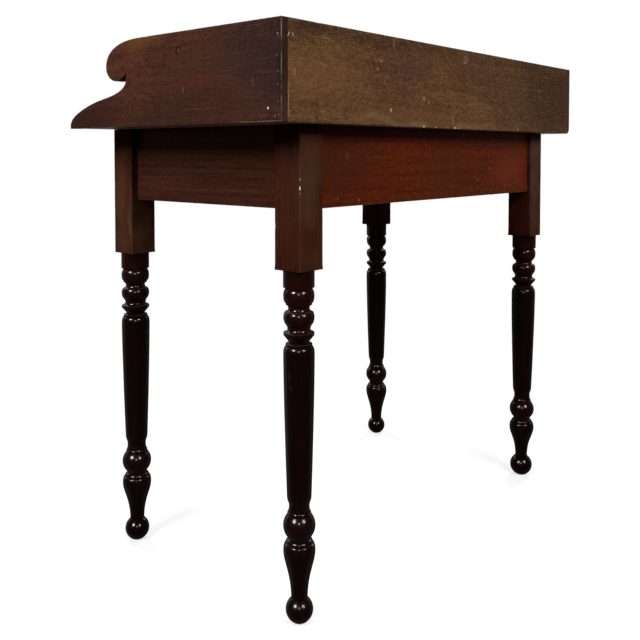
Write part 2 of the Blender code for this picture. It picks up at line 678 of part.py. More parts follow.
def scroll_points():
    """Control points of a gallery side, with their handles: nose, wave, neck, cusp, lobe and crest."""
    top = UNDERSIDE + GALLERY_HEIGHT

    def at(setback, height):
        return Vector((NOSE_PLANE + setback, height, 0.0))

    front_slope = Vector((WAVE_FRONT_REACH, WAVE_FRONT_REACH * WAVE_SLOPE, 0.0))
    rear_slope = Vector((WAVE_REAR_REACH, WAVE_REAR_REACH * WAVE_SLOPE, 0.0))
    nose_foot = at(0, UNDERSIDE)
    nose = at(0, UNDERSIDE + NOSE_HEIGHT)
    spring = nose + Vector((NOSE_SPRING_SETBACK, NOSE_SPRING_RISE, 0.0))
    wave = at(WAVE_SETBACK, UNDERSIDE + WAVE_HEIGHT)
    neck = at(NECK_SETBACK, top - NECK_DROP)
    cusp = at(NECK_SETBACK, top - CUSP_DROP)
    cusp_in = cusp - Vector((CUSP_REACH, CUSP_REACH * math.sqrt(2), 0.0))
    base = at(LOBE_BASE_SETBACK, top - LOBE_BASE_DROP)
    base_reach = Vector((LOBE_BASE_REACH, 0.0, 0.0))
    lobe = at(LOBE_SETBACK, top - LOBE_DROP)
    crest = at(CREST_SETBACK, top)
    back_top = at(TOP_DEPTH, top)
    back_foot = at(TOP_DEPTH, UNDERSIDE)
    up = Vector((0.0, 1.0, 0.0))
    return [
        (nose_foot, nose_foot, nose_foot),
        (nose, nose, spring),
        (wave, wave - front_slope, wave + rear_slope),
        (neck, neck - up * NECK_REACH, neck),
        (cusp, cusp, cusp_in),
        (base, base + base_reach, base - base_reach),
        (lobe, lobe - up * LOBE_LOWER_REACH, lobe + up * LOBE_UPPER_REACH),
        (crest, crest - Vector((CREST_REACH, 0.0, 0.0)), crest),
        (back_top, back_top, back_top),
        (back_foot, back_foot, back_foot),
    ]


def make_gallery():
    """Scroll-ended sides and a back board that sits in their rabbets."""
    top = UNDERSIDE + GALLERY_HEIGHT
    lap_plane = SIDE_PLANE - GALLERY_LAP
    back_front = BACK_PLANE - GALLERY_BACK_THICKNESS
    for side_name, side in SIDES.items():
        name = f"gallery_side_{side_name}"
        curve = flat_curve(name, GALLERY_SIDE_THICKNESS)
        curve.resolution_u = SCROLL_RESOLUTION
        spline = curve.splines.new("BEZIER")
        points = scroll_points()
        spline.bezier_points.add(len(points) - 1)
        for knot, (place, before, after) in zip(spline.bezier_points, points):
            knot.handle_left_type = "VECTOR" if before == place else "FREE"
            knot.handle_right_type = "VECTOR" if after == place else "FREE"
            knot.co = place
            knot.handle_left = before
            knot.handle_right = after
        spline.use_cyclic_u = True
        middle = side * (SIDE_PLANE + SIDE_INNER) / 2
        panel = add_part(from_curve(name, curve, (middle, 0, 0), UPRIGHT), SIDE_BOARD)
        low = Vector((side * (SIDE_INNER - CUT_MARGIN), back_front - FIT, UNDERSIDE - CUT_MARGIN))
        high = Vector((side * lap_plane, BACK_PLANE + CUT_MARGIN, top + CUT_MARGIN))
        cut(panel, block(f"{name}_rabbet", (low, high)))
    low = Vector((FIT - lap_plane, back_front, UNDERSIDE))
    high = Vector((lap_plane - FIT, BACK_PLANE, top))
    add_part(block("gallery_back", (low, high)), BACK_BOARD)


def tails(low, high, baseline, tip):
    """Dovetails between two heights, each as its root and tip corners from the bottom up."""
    pitch = (high - low) / TAIL_COUNT
    flare = abs(tip - baseline) * TAIL_SLOPE
    for index in range(TAIL_COUNT):
        middle = low + pitch * (index + 0.5)
        wide = (pitch - PIN_WIDTH) / 2
        narrow = wide - flare
        yield [
            (baseline, middle - narrow),
            (tip, middle - wide),
            (tip, middle + wide),
            (baseline, middle + narrow),
        ]


def front_tails():
    return tails(DRAWER_FRONT_LOW, DRAWER_HIGH, DRAWER_FRONT_IN + FIT, DRAWER_FACE + TAIL_LAP)


def back_tails():
    inner = DRAWER_REAR - DRAWER_BACK_THICKNESS - FIT
    return tails(DRAWER_BACK_LOW, DRAWER_BACK_HIGH, inner, DRAWER_REAR)


def drawer_side_outline():
    """Side of the drawer with its dovetails at both ends, round from the lower front corner."""
    baseline = DRAWER_FRONT_IN + FIT
    inner = DRAWER_REAR - DRAWER_BACK_THICKNESS - FIT
    outline = [(baseline, DRAWER_LOW), (DRAWER_REAR, DRAWER_LOW)]
    outline += [(DRAWER_REAR, DRAWER_BACK_LOW - FIT), (inner, DRAWER_BACK_LOW - FIT)]
    for tail in back_tails():
        outline += tail
    outline += [(inner, DRAWER_BACK_HIGH + FIT), (DRAWER_REAR, DRAWER_BACK_HIGH + FIT)]
    outline += [(DRAWER_REAR, DRAWER_HIGH), (baseline, DRAWER_HIGH)]
    for tail in reversed(list(front_tails())):
        outline += reversed(tail)
    return outline


def socket(tail, past):
    """A tail's outline with its clearance, run past the face that it opens on."""
    root_low, tip_low, tip_high, root_high = tail
    outward = math.copysign(1.0, tip_low[0] - root_low[0])
    slope = (root_low[1] - tip_low[1]) / abs(tip_low[0] - root_low[0])
    root = root_low[0] - outward * past
    tip = tip_low[0] + outward * FIT
    pinch = slope * past
    spread = slope * FIT + FIT
    return [
        (root, root_low[1] + pinch - FIT),
        (tip, tip_low[1] - spread),
        (tip, tip_high[1] + spread),
        (root, root_high[1] - pinch + FIT),
    ]


def make_drawer_box():
    """Drawer front, sides and back, joined by lapped dovetails in front and through ones behind."""
    low = Vector((DRAWER_GAP - POST_IN, DRAWER_FACE, DRAWER_FRONT_LOW))
    high = Vector((POST_IN - DRAWER_GAP, DRAWER_FRONT_IN, DRAWER_FRONT_HIGH))
    front = add_part(block("drawer_front", (low, high)), RED_APRON, drawer_body)
    low = Vector((-DRAWER_OUT, DRAWER_REAR - DRAWER_BACK_THICKNESS, DRAWER_BACK_LOW))
    high = Vector((DRAWER_OUT, DRAWER_REAR, DRAWER_BACK_HIGH))
    back = add_part(block("drawer_back", (low, high)), INNER_PINE, drawer_body)
    outline = drawer_side_outline()
    for side_name, side in SIDES.items():
        name = f"drawer_side_{side_name}"
        board = prism(name, outline, (side * DRAWER_IN, side * DRAWER_OUT))
        board = add_part(board, INNER_PINE, drawer_body)
        cheek = side * (DRAWER_IN + GROOVE_DEPTH)
        low = Vector((side * (DRAWER_IN - CUT_MARGIN), DRAWER_FACE, GROOVE_LOW))
        high = Vector((cheek, DRAWER_REAR + CUT_MARGIN, GROOVE_HIGH))
        cut(board, block(f"{name}_groove", (low, high)))
        ends = side * (DRAWER_IN - FIT), side * (POST_IN + CUT_MARGIN)
        for index, tail in enumerate(front_tails()):
            cut(front, prism(f"drawer_front_socket_{side_name}_{index}", socket(tail, CUT_MARGIN), ends))
        for index, tail in enumerate(back_tails()):
            cut(back, prism(f"drawer_back_socket_{side_name}_{index}", socket(tail, CUT_MARGIN), ends))
    reach = DRAWER_IN + GROOVE_DEPTH
    low = Vector((-reach, DRAWER_FRONT_IN - GROOVE_DEPTH, GROOVE_LOW))
    high = Vector((reach, DRAWER_FRONT_IN + CUT_MARGIN, GROOVE_HIGH))
    cut(front, block("drawer_front_groove", (low, high)))
    return front


def make_drawer_bottom():
    """Thin panel slid into the grooves from behind, bevelled on its underside to a thicker field."""
    reach = DRAWER_IN + GROOVE_DEPTH - FIT
    low = Vector((-reach, DRAWER_FRONT_IN - GROOVE_DEPTH + FIT, PANEL_LOW))
    high = Vector((reach, DRAWER_REAR, PANEL_HIGH))
    panel = block("drawer_bottom", (low, high))
    shape = bmesh.new()
    shape.from_mesh(panel.data)
    shape.normal_update()
    underside = [face for face in shape.faces if face.normal.z < -0.5]
    bmesh.ops.inset_region(shape, faces=underside, thickness=GROOVE_DEPTH + FIT, use_even_offset=True)
    bmesh.ops.inset_region(shape, faces=underside, thickness=PANEL_BEVEL, depth=PANEL_FIELD)
    shape.to_mesh(panel.data)
    shape.free()
    add_part(panel, INNER_PINE, drawer_body)


def make_knobs(front):
    """Turned knobs with tenons glued through the drawer front."""
    cap = KNOB_PROJECTION - KNOB_CAP_HEIGHT
    profile = [(0.0, KNOB_PROJECTION)]
    profile.append((KNOB_FACE_RADIUS, KNOB_PROJECTION))
    profile += quarter(profile[-1], (KNOB_RADIUS, KNOB_PROJECTION - KNOB_DISH), "radius")
    profile += quarter(profile[-1], (KNOB_NECK_RADIUS, cap), "axis")
    profile.append((KNOB_NECK_RADIUS, KNOB_NECK_HEIGHT))
    profile += quarter(profile[-1], (KNOB_BASE_RADIUS, FIT), "axis", SMALL_ARC_FACETS)
    profile += [(KNOB_TENON_RADIUS, FIT), (KNOB_TENON_RADIUS, -DRAWER_FRONT_THICKNESS)]
    profile.append((0.0, -DRAWER_FRONT_THICKNESS))
    height = (DRAWER_FRONT_LOW + DRAWER_FRONT_HIGH) / 2
    hole = KNOB_TENON_RADIUS / math.cos(math.pi / SMALL_SIDES) + FIT
    facing = (math.pi / 2, 0.0, 0.0)
    for side_name, side in SIDES.items():
        name = f"drawer_knob_{side_name}"
        place = (side * KNOB_PLACE, DRAWER_FACE, height)
        add_part(turning(name, profile, SMALL_SIDES, place, facing), WALNUT_LEG, drawer_body)
        bore = [(0.0, CUT_MARGIN), (hole, CUT_MARGIN)]
        bore += [(hole, -DRAWER_FRONT_THICKNESS - CUT_MARGIN), (0.0, -DRAWER_FRONT_THICKNESS - CUT_MARGIN)]
        cut(front, turning(f"{name}_hole", bore, SMALL_SIDES, place, facing))


make_legs()
make_aprons()
make_front_rails()
make_bearers()
make_glue_blocks()
make_top()
make_gallery()
make_drawer_bottom()
make_knobs(make_drawer_box())
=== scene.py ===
"""Looks of an old writing table: finely turned legs, worn stained boards, nails and marks of use.

Metres, +Z up. The front faces -Y, and the photograph looks at the right side and the back.
"""

import json
import math

import bmesh
import bpy
from mathutils import Matrix, Vector, kdtree, noise
from mathutils.geometry import interpolate_bezier

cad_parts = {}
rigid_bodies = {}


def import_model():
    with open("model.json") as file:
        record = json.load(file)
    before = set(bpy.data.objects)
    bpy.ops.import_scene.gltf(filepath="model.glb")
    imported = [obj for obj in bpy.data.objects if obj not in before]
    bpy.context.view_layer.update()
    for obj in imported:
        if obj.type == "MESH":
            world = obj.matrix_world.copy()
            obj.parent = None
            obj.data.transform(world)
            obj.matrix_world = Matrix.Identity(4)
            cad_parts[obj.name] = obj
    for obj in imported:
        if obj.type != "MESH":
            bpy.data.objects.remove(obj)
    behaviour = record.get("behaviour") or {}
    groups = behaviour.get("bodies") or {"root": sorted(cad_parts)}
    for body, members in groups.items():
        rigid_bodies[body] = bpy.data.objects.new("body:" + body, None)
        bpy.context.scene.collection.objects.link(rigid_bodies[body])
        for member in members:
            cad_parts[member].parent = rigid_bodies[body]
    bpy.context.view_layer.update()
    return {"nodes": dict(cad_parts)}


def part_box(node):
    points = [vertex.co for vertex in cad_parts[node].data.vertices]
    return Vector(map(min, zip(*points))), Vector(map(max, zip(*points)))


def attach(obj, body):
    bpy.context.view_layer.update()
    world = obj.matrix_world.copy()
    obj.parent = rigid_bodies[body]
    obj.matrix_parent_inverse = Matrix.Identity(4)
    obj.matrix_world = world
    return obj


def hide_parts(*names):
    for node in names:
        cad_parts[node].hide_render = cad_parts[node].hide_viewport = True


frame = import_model()
nodes = frame["nodes"]
SIDES = {"left": -1, "right": 1}

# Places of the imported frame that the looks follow
TOP_LOW, TOP_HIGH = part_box("gallery_back")[0].z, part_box("gallery_back")[1].z
BACK_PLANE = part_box("gallery_back")[1].y
SIDE_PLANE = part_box("gallery_side_right")[1].x
SIDE_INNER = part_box("gallery_side_right")[0].x
NOSE_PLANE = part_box("gallery_side_right")[0].y
LAP_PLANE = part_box("gallery_back")[1].x
BACK_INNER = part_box("gallery_back")[0].y

# Working sizes
FIT = 0.0003  # gap between pieces that meet
MERGE = 0.00002  # corners nearer than this are one
CUT_TOLERANCE = 0.00001
SPARE = 0.001  # how far a cutting tool reaches past what it cuts
FLAT_ANGLE = math.radians(0.6)
CREASE_ANGLE = math.radians(34)
SHARP_ANGLE = 0.5
TURNED_SIDES = 96
KNOB_SIDES = 72

# Ageing: reaches in metres, then waves per metre, then shares of the depth that is worn off
END_ROW = 0.005
WORN_REACH = 0.006
RUB_WAVES, NICK_WAVES, PLANE_WAVES = 28, 150, 16
RUB_SHARE, NICK_SHARE, NICK_LEVEL = 0.35, 2.2, 0.30
LAP_CLEAR = 0.002  # the covered laps at the gallery's corners stay unworn from here on
POST_WEAR = (0.0011, 0.007, 0.0006)  # arris, cell, depth of nicks
SIDE_WEAR = (0.0010, 0.008, 0.0005)
SIDE_SEED, BOARD_SEED = 11, 20

# Turned part of a leg, from the post down to the shaft
POST_BOTTOM = 0.520
POST_ROOT = 0.012
COLLAR_RADIUS = 0.02345
COLLAR_ROW = 0.003  # a row of corners this far below the post
COLLAR_LENGTH = 0.028
GROOVE_RADIUS = 0.0194
GROOVE_HALF = 0.0024
SHAFT_FOOT_RADIUS = 0.0185
SHAFT_SWELL = 1.41
SHAFT_STEPS = 24

# Turned part of a leg, heights from the floor up to the shaft
SHAFT_FOOT_HEIGHT = 0.1868
SHAFT_EDGE = (0.0004, 0.0008)
ANKLE_RADIUS = 0.0156
ANKLE_HEIGHT = 0.1740
ANKLE_LEAD, ANKLE_TRAIL = 0.004, 0.007
ANKLE_FOOT_RADIUS = 0.0179
ANKLE_FOOT_HEIGHT = 0.1652
ANKLE_STEP = 0.0003
BALL_RADIUS = 0.0244
BALL_HEIGHT = 0.1452
NECKING_RADIUS = 0.0162
NECKING_LENGTH = 0.0018
NECKING_STEP = 0.0006
NECKING_DROP = 0.0005
VASE_TOP_HEIGHT = 0.1252
VASE_FILLET_RADIUS = 0.0206
VASE_FILLET_STEP = 0.0008
VASE_FILLET_HEIGHT = 0.1196
VASE_RADIUS = 0.0243
VASE_HEIGHT = 0.1076
VASE_LEAD = 0.016
STEM_RADIUS = 0.0125
STEM_TRAIL = 0.036
FOOT_FLAT_RADIUS = 0.0085

# Legs: wavering of the turner's hand, what it leaves alone, and where the post and the polish end
SWAY = 0.00022
SWAY_WAVES = 22
AXIS_CLEAR, SOLE_CLEAR = 0.004, 0.002
POST_CUT = 0.0004  # cut so far above the foot of the CAD post
LEVEL = 0.0001  # corners this near to a height lie on it
POLISH_EDGE = 0.0006

# No two legs are alike: lifts of the post's foot, beads, ankle, ball and vase, girth, foot's radius and lean
HAND = ("post", "beads", "ankle", "ball", "vase", "girth", "foot", "lean")
LEG_HANDS = {
    "leg_back_right": (0.0036, 0.0039, 0.0, 0.0, 0.0, 0.990, 0.0206, (-0.0004, 0.0005)),
    "leg_front_right": (-0.0028, -0.0046, -0.0004, -0.0030, -0.0042, 1.036, 0.0212, (0.0, 0.0)),
    "leg_back_left": (-0.0024, -0.0034, -0.0008, -0.0026, -0.0048, 1.042, 0.0228, (0.0014, -0.0016)),
    "leg_front_left": (-0.0018, -0.0029, 0.0024, 0.0020, -0.0020, 1.036, 0.0206, (-0.0008, 0.0009)),
}

# Turned knobs, heights from the drawer front
KNOB_RADIUS = 0.0184
KNOB_FACE_RADIUS = 0.0140
KNOB_FACE_EDGE = (0.0003, 0.0006)
KNOB_CROWN = 0.0022
KNOB_RIM = 0.0062
KNOB_NECK_RADIUS = 0.0078
KNOB_NECK_TOP = 0.0118
KNOB_NECK_FOOT = 0.0070
KNOB_BASE_RADIUS = 0.0114
KNOB_BASE_THICKNESS = 0.0014
KNOB_TENON_RADIUS = 0.0060

# Scroll of the gallery sides: setbacks from the nose, heights from the underside, drops from the top
NOSE_HEIGHT = 0.0085
NOSE_SPRING = (0.004, 0.015)
WAVE = (0.0993, 0.0475)
WAVE_SLOPE = 0.156
WAVE_FRONT_REACH = 0.0445
WAVE_REAR_REACH = 0.0307
NECK_SETBACK = 0.1587
NECK_DROP = 0.0625
NECK_REACH = 0.016
CUSP_DROP = 0.0525
CUSP_REACH = 0.0045
LOBE = (0.1054, 0.0405)
LOBE_UPPER_REACH = 0.024
LOBE_LOWER_REACH = 0.013
LOBE_BASE = (0.131, 0.0645)
LOBE_BASE_REACH = 0.0125
CREST_SETBACK = 0.195
CREST_REACH = 0.062
SCROLL_STEPS = 26
SCROLL_GAP = 0.0004  # points nearer than this are left out
SPLIT_SIZE = 0.0120
SPLIT_TURN = Matrix.Rotation(0.75, 3, (0.3, 1.0, 0.2))
SPLIT_OUT, SPLIT_IN = 0.0006, 0.001

# Nails of the gallery: depths and heights on the sides, places across the back
NAIL_RADIUS = 0.0014
NAIL_HEIGHT = 0.0006
NAIL_GIRTH, NAIL_VARIETY, NAIL_WAVES = 0.85, 0.35, 90
SIDE_NAILS = ((0.2436, 0.8471), (0.2410, 0.8226), (0.2430, 0.8015), (0.2424, 0.7845), (0.2424, 0.7622))
SIDE_NAIL_SINK = 0.0002
BACK_NAILS = (0.3919, 0.0298, -0.3950)
BACK_NAIL_LEVEL = 0.7400
BACK_NAIL_SINK = 0.0003

# Floor, light and camera, which was fitted to the photograph in its pixels
FLOOR_RADIUS = 14.0
FLOOR_SIDES = 96
FLOOR_GLOW = 0.60  # share of the floor's white that no shadow dims
FADE_START, FADE_END = 0.7, 1.9
FILL_LEVEL = 0.055
SOFTBOX_POWER = 100.0
GLEAM_POWER = 3100.0
EYE = (1.2233, 0.9683, 0.6947)
BEARING, TIP = math.radians(220.93), math.radians(-2.16)
PHOTO_SIDE = 640
FOCAL_LENGTH = 798.2
OPTICAL_CENTRE = (313.1, 182.4)
SENSOR_WIDTH = 36.0


def linear(colour):
    """An sRGB hex colour as linear red, green, blue and alpha."""
    values = []
    for place in (1, 3, 5):
        value = int(colour[place : place + 2], 16) / 255
        values.append(value / 12.92 if value <= 0.04045 else ((value + 0.055) / 1.055) ** 2.4)
    return (*values, 1.0)


def add(tree, kind, inputs=None, **settings):
    """Add one node, set its options, and fill or link its inputs."""
    node = tree.nodes.new(kind)
    for option, value in settings.items():
        setattr(node, option, value)
    for key, value in (inputs or {}).items():
        if isinstance(value, bpy.types.Node):
            value = value.outputs[0]
        if isinstance(value, bpy.types.NodeSocket):
            tree.links.new(value, node.inputs[key])
        else:
            node.inputs[key].default_value = value
    return node


# Finishes

GRAIN_TURN = {"x": (0.0, 0.0, 0.0), "y": (0.0, 0.0, math.pi / 2), "z": (0.0, math.pi / 2, 0.0)}
LATE_WOOD, EARLY_WOOD = 0.37, 0.63  # levels of the figure with the darkest and the palest tone
MARK_EDGE = 0.45  # share of a mark's radius over which it fades
DULL_START, DULL_END = 0.36, 0.54  # slant to the eye at which polish starts to turn dull, and is dull
RUST_END, IRON_START = 0.42, 0.60  # levels of the noise up to which iron is rusty, and from which it is bare


def blank(name):
    """A new material, with its tree of nodes and its shader."""
    material = bpy.data.materials.new(name)
    material.use_nodes = True
    return material, material.node_tree, material.node_tree.nodes["Principled BSDF"]


def stray(tree, where, wander, reach):
    """Points pushed about by a noise, so that what is drawn by them wavers."""
    middle = {0: wander.outputs["Color"], 1: (0.5, 0.5, 0.5)}
    push = add(tree, "ShaderNodeVectorMath", middle, operation="SUBTRACT")
    return add(tree, "ShaderNodeVectorMath", {0: push, 1: reach, 2: where}, operation="MULTIPLY_ADD")


def drawn_out(tree, where, lines, detail, roughness=0.5):
    """Noise drawn out along the grain, with so many lines per metre along it and across it."""
    drawn = add(tree, "ShaderNodeVectorMath", {0: where, 1: lines}, operation="MULTIPLY")
    pattern = {"Vector": drawn, "Scale": 1.0, "Detail": detail, "Roughness": roughness}
    return add(tree, "ShaderNodeTexNoise", pattern).outputs["Fac"]


def two_stains(tree, figure, clouds, warm, cool):
    """Late to early wood in two stains, one turning into the other by the clouds."""
    ramps = []
    for tones in (warm, cool):
        ramp = add(tree, "ShaderNodeValToRGB", {"Fac": figure})
        stops = ramp.color_ramp.elements
        stops[0].position, stops[1].position = LATE_WOOD, EARLY_WOOD
        stops.new((LATE_WOOD + EARLY_WOOD) / 2)
        for stop, tone in zip(stops, tones):
            stop.color = linear(tone)
        ramps.append(ramp)
    return add(tree, "ShaderNodeMix", {0: clouds, 6: ramps[0], 7: ramps[1]}, data_type="RGBA").outputs[2]


def spot(tree, where, place, size, turn=(0.0, 0.0, 0.0), edge=1.0):
    """A soft-edged spot in real space: 1 in its middle, 0 at its rim."""
    stretch = add(
        tree,
        "ShaderNodeMapping",
        {"Vector": where, "Location": place, "Rotation": turn, "Scale": size},
        vector_type="TEXTURE",
    )
    ball = add(tree, "ShaderNodeTexGradient", {"Vector": stretch}, gradient_type="SPHERICAL")
    rim = add(tree, "ShaderNodeMapRange", {0: ball.outputs["Fac"], 2: edge}, interpolation_type="SMOOTHSTEP")
    return rim.outputs[0]


def rub_in(tree, colour, tone, mask, share=1.0):
    """Lay a tone over a colour where a mask says, by a share."""
    amount = add(tree, "ShaderNodeMath", {0: mask, 1: share}, operation="MULTIPLY")
    return add(tree, "ShaderNodeMix", {0: amount, 6: colour, 7: linear(tone)}, data_type="RGBA").outputs[2]


def stained_wood(
    name, grain, warm, cool, roughness, pore, dust, bare, shine=0.012, streaks=(5, 110, 110), mottle=0.62,
    pores=0.45, specks=0.45, scratches=0.5, wear=0.6, relief=0.25, rim=None, patches=(), marks=(),
):
    """Old stained wood: fibres along the grain, blotchy stain, pores, scratches, worn arrises and marks."""
    material, tree, shader = blank(name)
    place = add(tree, "ShaderNodeTexCoord").outputs["Object"]
    board = add(tree, "ShaderNodeMapping", {"Vector": place, "Rotation": GRAIN_TURN[grain]})
    # The fibres wander a few millimetres over a hand's breadth
    drift = add(tree, "ShaderNodeTexNoise", {"Vector": board, "Scale": 11.0, "Detail": 2.0})
    strayed = stray(tree, board, drift, (0.0, 0.005, 0.005))
    # Year rings show as streaks about 9 mm apart and 200 mm long
    fibre = drawn_out(tree, strayed, streaks, 6.0, 0.62)
    # Mottle of the stain, 5 mm wide and 12 mm long
    dabs = drawn_out(tree, strayed, (85, 190, 190), 5.0, 0.68)
    figure = add(tree, "ShaderNodeMix", {0: mottle, 2: fibre, 3: dabs})
    # Stain took unevenly, in clouds about 120 mm across
    uneven = {"Vector": strayed, "Scale": 8.0, "Detail": 4.0, "Roughness": 0.55}
    cloud = add(tree, "ShaderNodeTexNoise", uneven).outputs["Fac"]
    clouds = add(tree, "ShaderNodeMapRange", {0: cloud, 1: 0.40, 2: 0.60})
    colour = two_stains(tree, figure, clouds, warm, cool)
    # Soft patches, their edges frayed by up to 25 mm
    frayed = stray(tree, place, drift, (0.05, 0.05, 0.05))
    for centre, size, tone, share in patches:
        colour = rub_in(tree, colour, tone, spot(tree, frayed, centre, size), share)
    # Pores: dark dashes 0.7 mm wide, drawn wider than real ones so that they show
    dashes = drawn_out(tree, board, (70, 1100, 1100), 2.0)
    hollows = add(tree, "ShaderNodeMapRange", {0: dashes, 1: 0.56, 2: 0.74, 4: pores})
    colour = rub_in(tree, colour, pore, hollows)
    # Flecks of dust and dirt in the open grain, 2 mm wide and 4 mm long
    flecks = drawn_out(tree, board, (240, 440, 440), 4.0, 0.75)
    for tone, low, high in ((dust, 0.52, 0.68), (pore, 0.48, 0.32)):
        flecked = add(tree, "ShaderNodeMapRange", {0: flecks, 1: low, 2: high, 4: specks})
        colour = rub_in(tree, colour, tone, flecked)
    # Fine scratches from two sides and marks of the plane across the grain
    for turn, share in (((0.3, 0.5, 0.25), 0.5), ((-0.5, -0.3, -0.45), 0.35), ((0.05, 1.5, 0.0), 0.6)):
        aslant = {"Vector": board, "Rotation": turn, "Scale": (14, 900, 900)}
        hairs = {"Vector": add(tree, "ShaderNodeMapping", aslant), "Scale": 1.0, "Detail": 1.0}
        hair = add(tree, "ShaderNodeTexNoise", hairs).outputs["Fac"]
        scratched = add(tree, "ShaderNodeMapRange", {0: hair, 1: 0.70, 2: 0.78, 4: share * scratches})
        colour = rub_in(tree, colour, bare, scratched)
    # Worn arrises, broken up by noise of a few millimetres
    worn = add(tree, "ShaderNodeAttribute", attribute_name="worn").outputs["Fac"]
    broken = {"Vector": place, "Scale": 130.0, "Detail": 5.0, "Roughness": 0.65}
    rub = add(tree, "ShaderNodeTexNoise", broken).outputs["Fac"]
    rubbed = add(tree, "ShaderNodeMath", {0: worn, 1: rub}, operation="MULTIPLY")
    worn_off = add(tree, "ShaderNodeMapRange", {0: rubbed, 1: 0.34, 2: 0.60, 4: wear})
    colour = rub_in(tree, colour, bare, worn_off)
    # Single marks, their edges frayed by up to a millimetre
    shake = add(tree, "ShaderNodeTexNoise", {"Vector": place, "Scale": 600.0, "Detail": 2.0})
    nicked = stray(tree, place, shake, (0.002, 0.002, 0.002))
    for centre, size, turn, tone, share in marks:
        colour = rub_in(tree, colour, tone, spot(tree, nicked, centre, size, turn, MARK_EDGE), share)
    tree.links.new(colour, shader.inputs["Base Color"])
    gloss = {0: cloud, 1: 0.3, 2: 0.7, 3: roughness[0], 4: roughness[1]}
    rough = add(tree, "ShaderNodeMapRange", gloss)
    if rim:
        # Worn polish mirrors lamps only where it faces the eye: seen aslant, it is dull
        slant = add(tree, "ShaderNodeLayerWeight", {"Blend": 0.5}).outputs["Facing"]
        rough = add(tree, "ShaderNodeMapRange", {0: slant, 1: DULL_START, 2: DULL_END, 3: rough, 4: rim})
    tree.links.new(rough.outputs[0], shader.inputs["Roughness"])
    shader.inputs["Specular IOR Level"].default_value = shine
    height = add(tree, "ShaderNodeMath", {0: fibre, 1: 0.6, 2: hollows}, operation="MULTIPLY_ADD")
    bump = add(tree, "ShaderNodeBump", {"Strength": relief, "Distance": 0.0005, "Height": height})
    tree.links.new(bump.outputs["Normal"], shader.inputs["Normal"])
    return material


def metal(name, bright, dull, roughness):
    """Old iron: brown rust in patches over grey metal."""
    material, tree, shader = blank(name)
    place = add(tree, "ShaderNodeTexCoord").outputs["Object"]
    rust = add(tree, "ShaderNodeTexNoise", {"Vector": place, "Scale": 700.0, "Detail": 4.0}).outputs["Fac"]
    ramp = add(tree, "ShaderNodeValToRGB", {"Fac": rust})
    for stop, level, tone in zip(ramp.color_ramp.elements, (RUST_END, IRON_START), (dull, bright)):
        stop.position = level
        stop.color = linear(tone)
    tree.links.new(ramp.outputs["Color"], shader.inputs["Base Color"])
    bare = add(tree, "ShaderNodeMapRange", {0: rust, 1: RUST_END, 2: IRON_START, 3: 0.2, 4: 1.0})
    tree.links.new(bare.outputs[0], shader.inputs["Metallic"])
    shader.inputs["Roughness"].default_value = roughness
    return material


def on_face(axis, plane, depth, rows):
    """Marks on a flat face: place and size along its two axes, tone, share and, for some, a turn."""
    normal = "xyz".index(axis)
    marks = []
    for first, second, width, height, tone, share, *turned_by in rows:
        place, size, turn = [first, second], [width, height], [0.0, 0.0]
        place.insert(normal, plane)
        size.insert(normal, depth)
        turn.insert(normal, turned_by[0] if turned_by else 0.0)
        marks.append((place, size, turn, tone, share))
    return marks


# Gallery sides: a red-brown stained board, rubbed golden at the top of the scroll and dusky towards the back
gallery_side_stain = stained_wood(
    "red_brown_stained_poplar", grain="y", roughness=(0.46, 0.60),
    warm=("#3a1c15", "#4d2a1e", "#5b3426"), cool=("#321d16", "#42271e", "#4f3227"),
    pore="#24120d", dust="#62402f", bare="#6e5142", specks=0.52, scratches=0.85, wear=0.35,
    patches=[
        ((0.45, -0.055, 0.868), (0.05, 0.075, 0.035), "#6b4520", 0.75),
        ((0.45, 0.245, 0.820), (0.06, 0.200, 0.150), "#2a1f20", 0.95),
        ((0.45, 0.120, 0.815), (0.05, 0.140, 0.045), "#3a271d", 0.55),
        ((0.45, 0.050, 0.755), (0.05, 0.220, 0.045), "#321f18", 0.75),
        ((0.45, -0.200, 0.748), (0.06, 0.190, 0.075), "#271813", 0.95),
        ((0.456, 0.2495, 0.806), (0.018, 0.010, 0.170), "#1e1712", 0.95),
        ((0.45, 0.090, 0.790), (0.05, 0.120, 0.018), "#4f2722", 0.60),
        ((0.45, 0.022, 0.853), (0.05, 0.040, 0.014), "#3a211c", 0.60),
        ((0.45, 0.185, 0.775), (0.05, 0.060, 0.020), "#3a2c1f", 0.50),
    ],
    marks=on_face("x", 0.457, 0.004, [
        (0.0392, 0.8452, 0.0075, 0.008, "#1c0d0a", 0.85),
        (0.0402, 0.8448, 0.0042, 0.0046, "#5e3a2c", 0.95),
        (0.0501, 0.7864, 0.0013, 0.008, "#7d5548", 0.6),
        (0.1961, 0.7898, 0.004, 0.009, "#5b3330", 0.55),
        (-0.0553, 0.817, 0.0016, 0.009, "#281510", 0.55, 0.2),
        # Along the bottom arris: a thin dark line, and under it a pale line that is a painted highlight
        (0.213, 0.7376, 0.045, 0.0008, "#120a08", 0.9),
        (0.21, 0.736, 0.06, 0.0013, "#6f625b", 0.75),
    ]) + on_face("x", 0.457, 0.003, [
        (0.2243, 0.7537, 0.0022, 0.0022, "#d0c4b8", 0.95),
        (0.2375, 0.743, 0.0024, 0.0016, "#6f645a", 0.65),
        (0.244, 0.7445, 0.0014, 0.0022, "#6f645a", 0.65),
        (0.242, 0.8508, 0.0026, 0.001, "#a89c90", 0.8, 0.3),
    ]) + on_face("x", 0.457, 0.0013, [
        (0.2488, 0.857, 0.0012, 0.019, "#8a7d74", 0.5),
        (0.2488, 0.813, 0.0012, 0.022, "#7a6d64", 0.5),
        (0.2488, 0.764, 0.0012, 0.012, "#7a6d64", 0.45),
    ]),
)

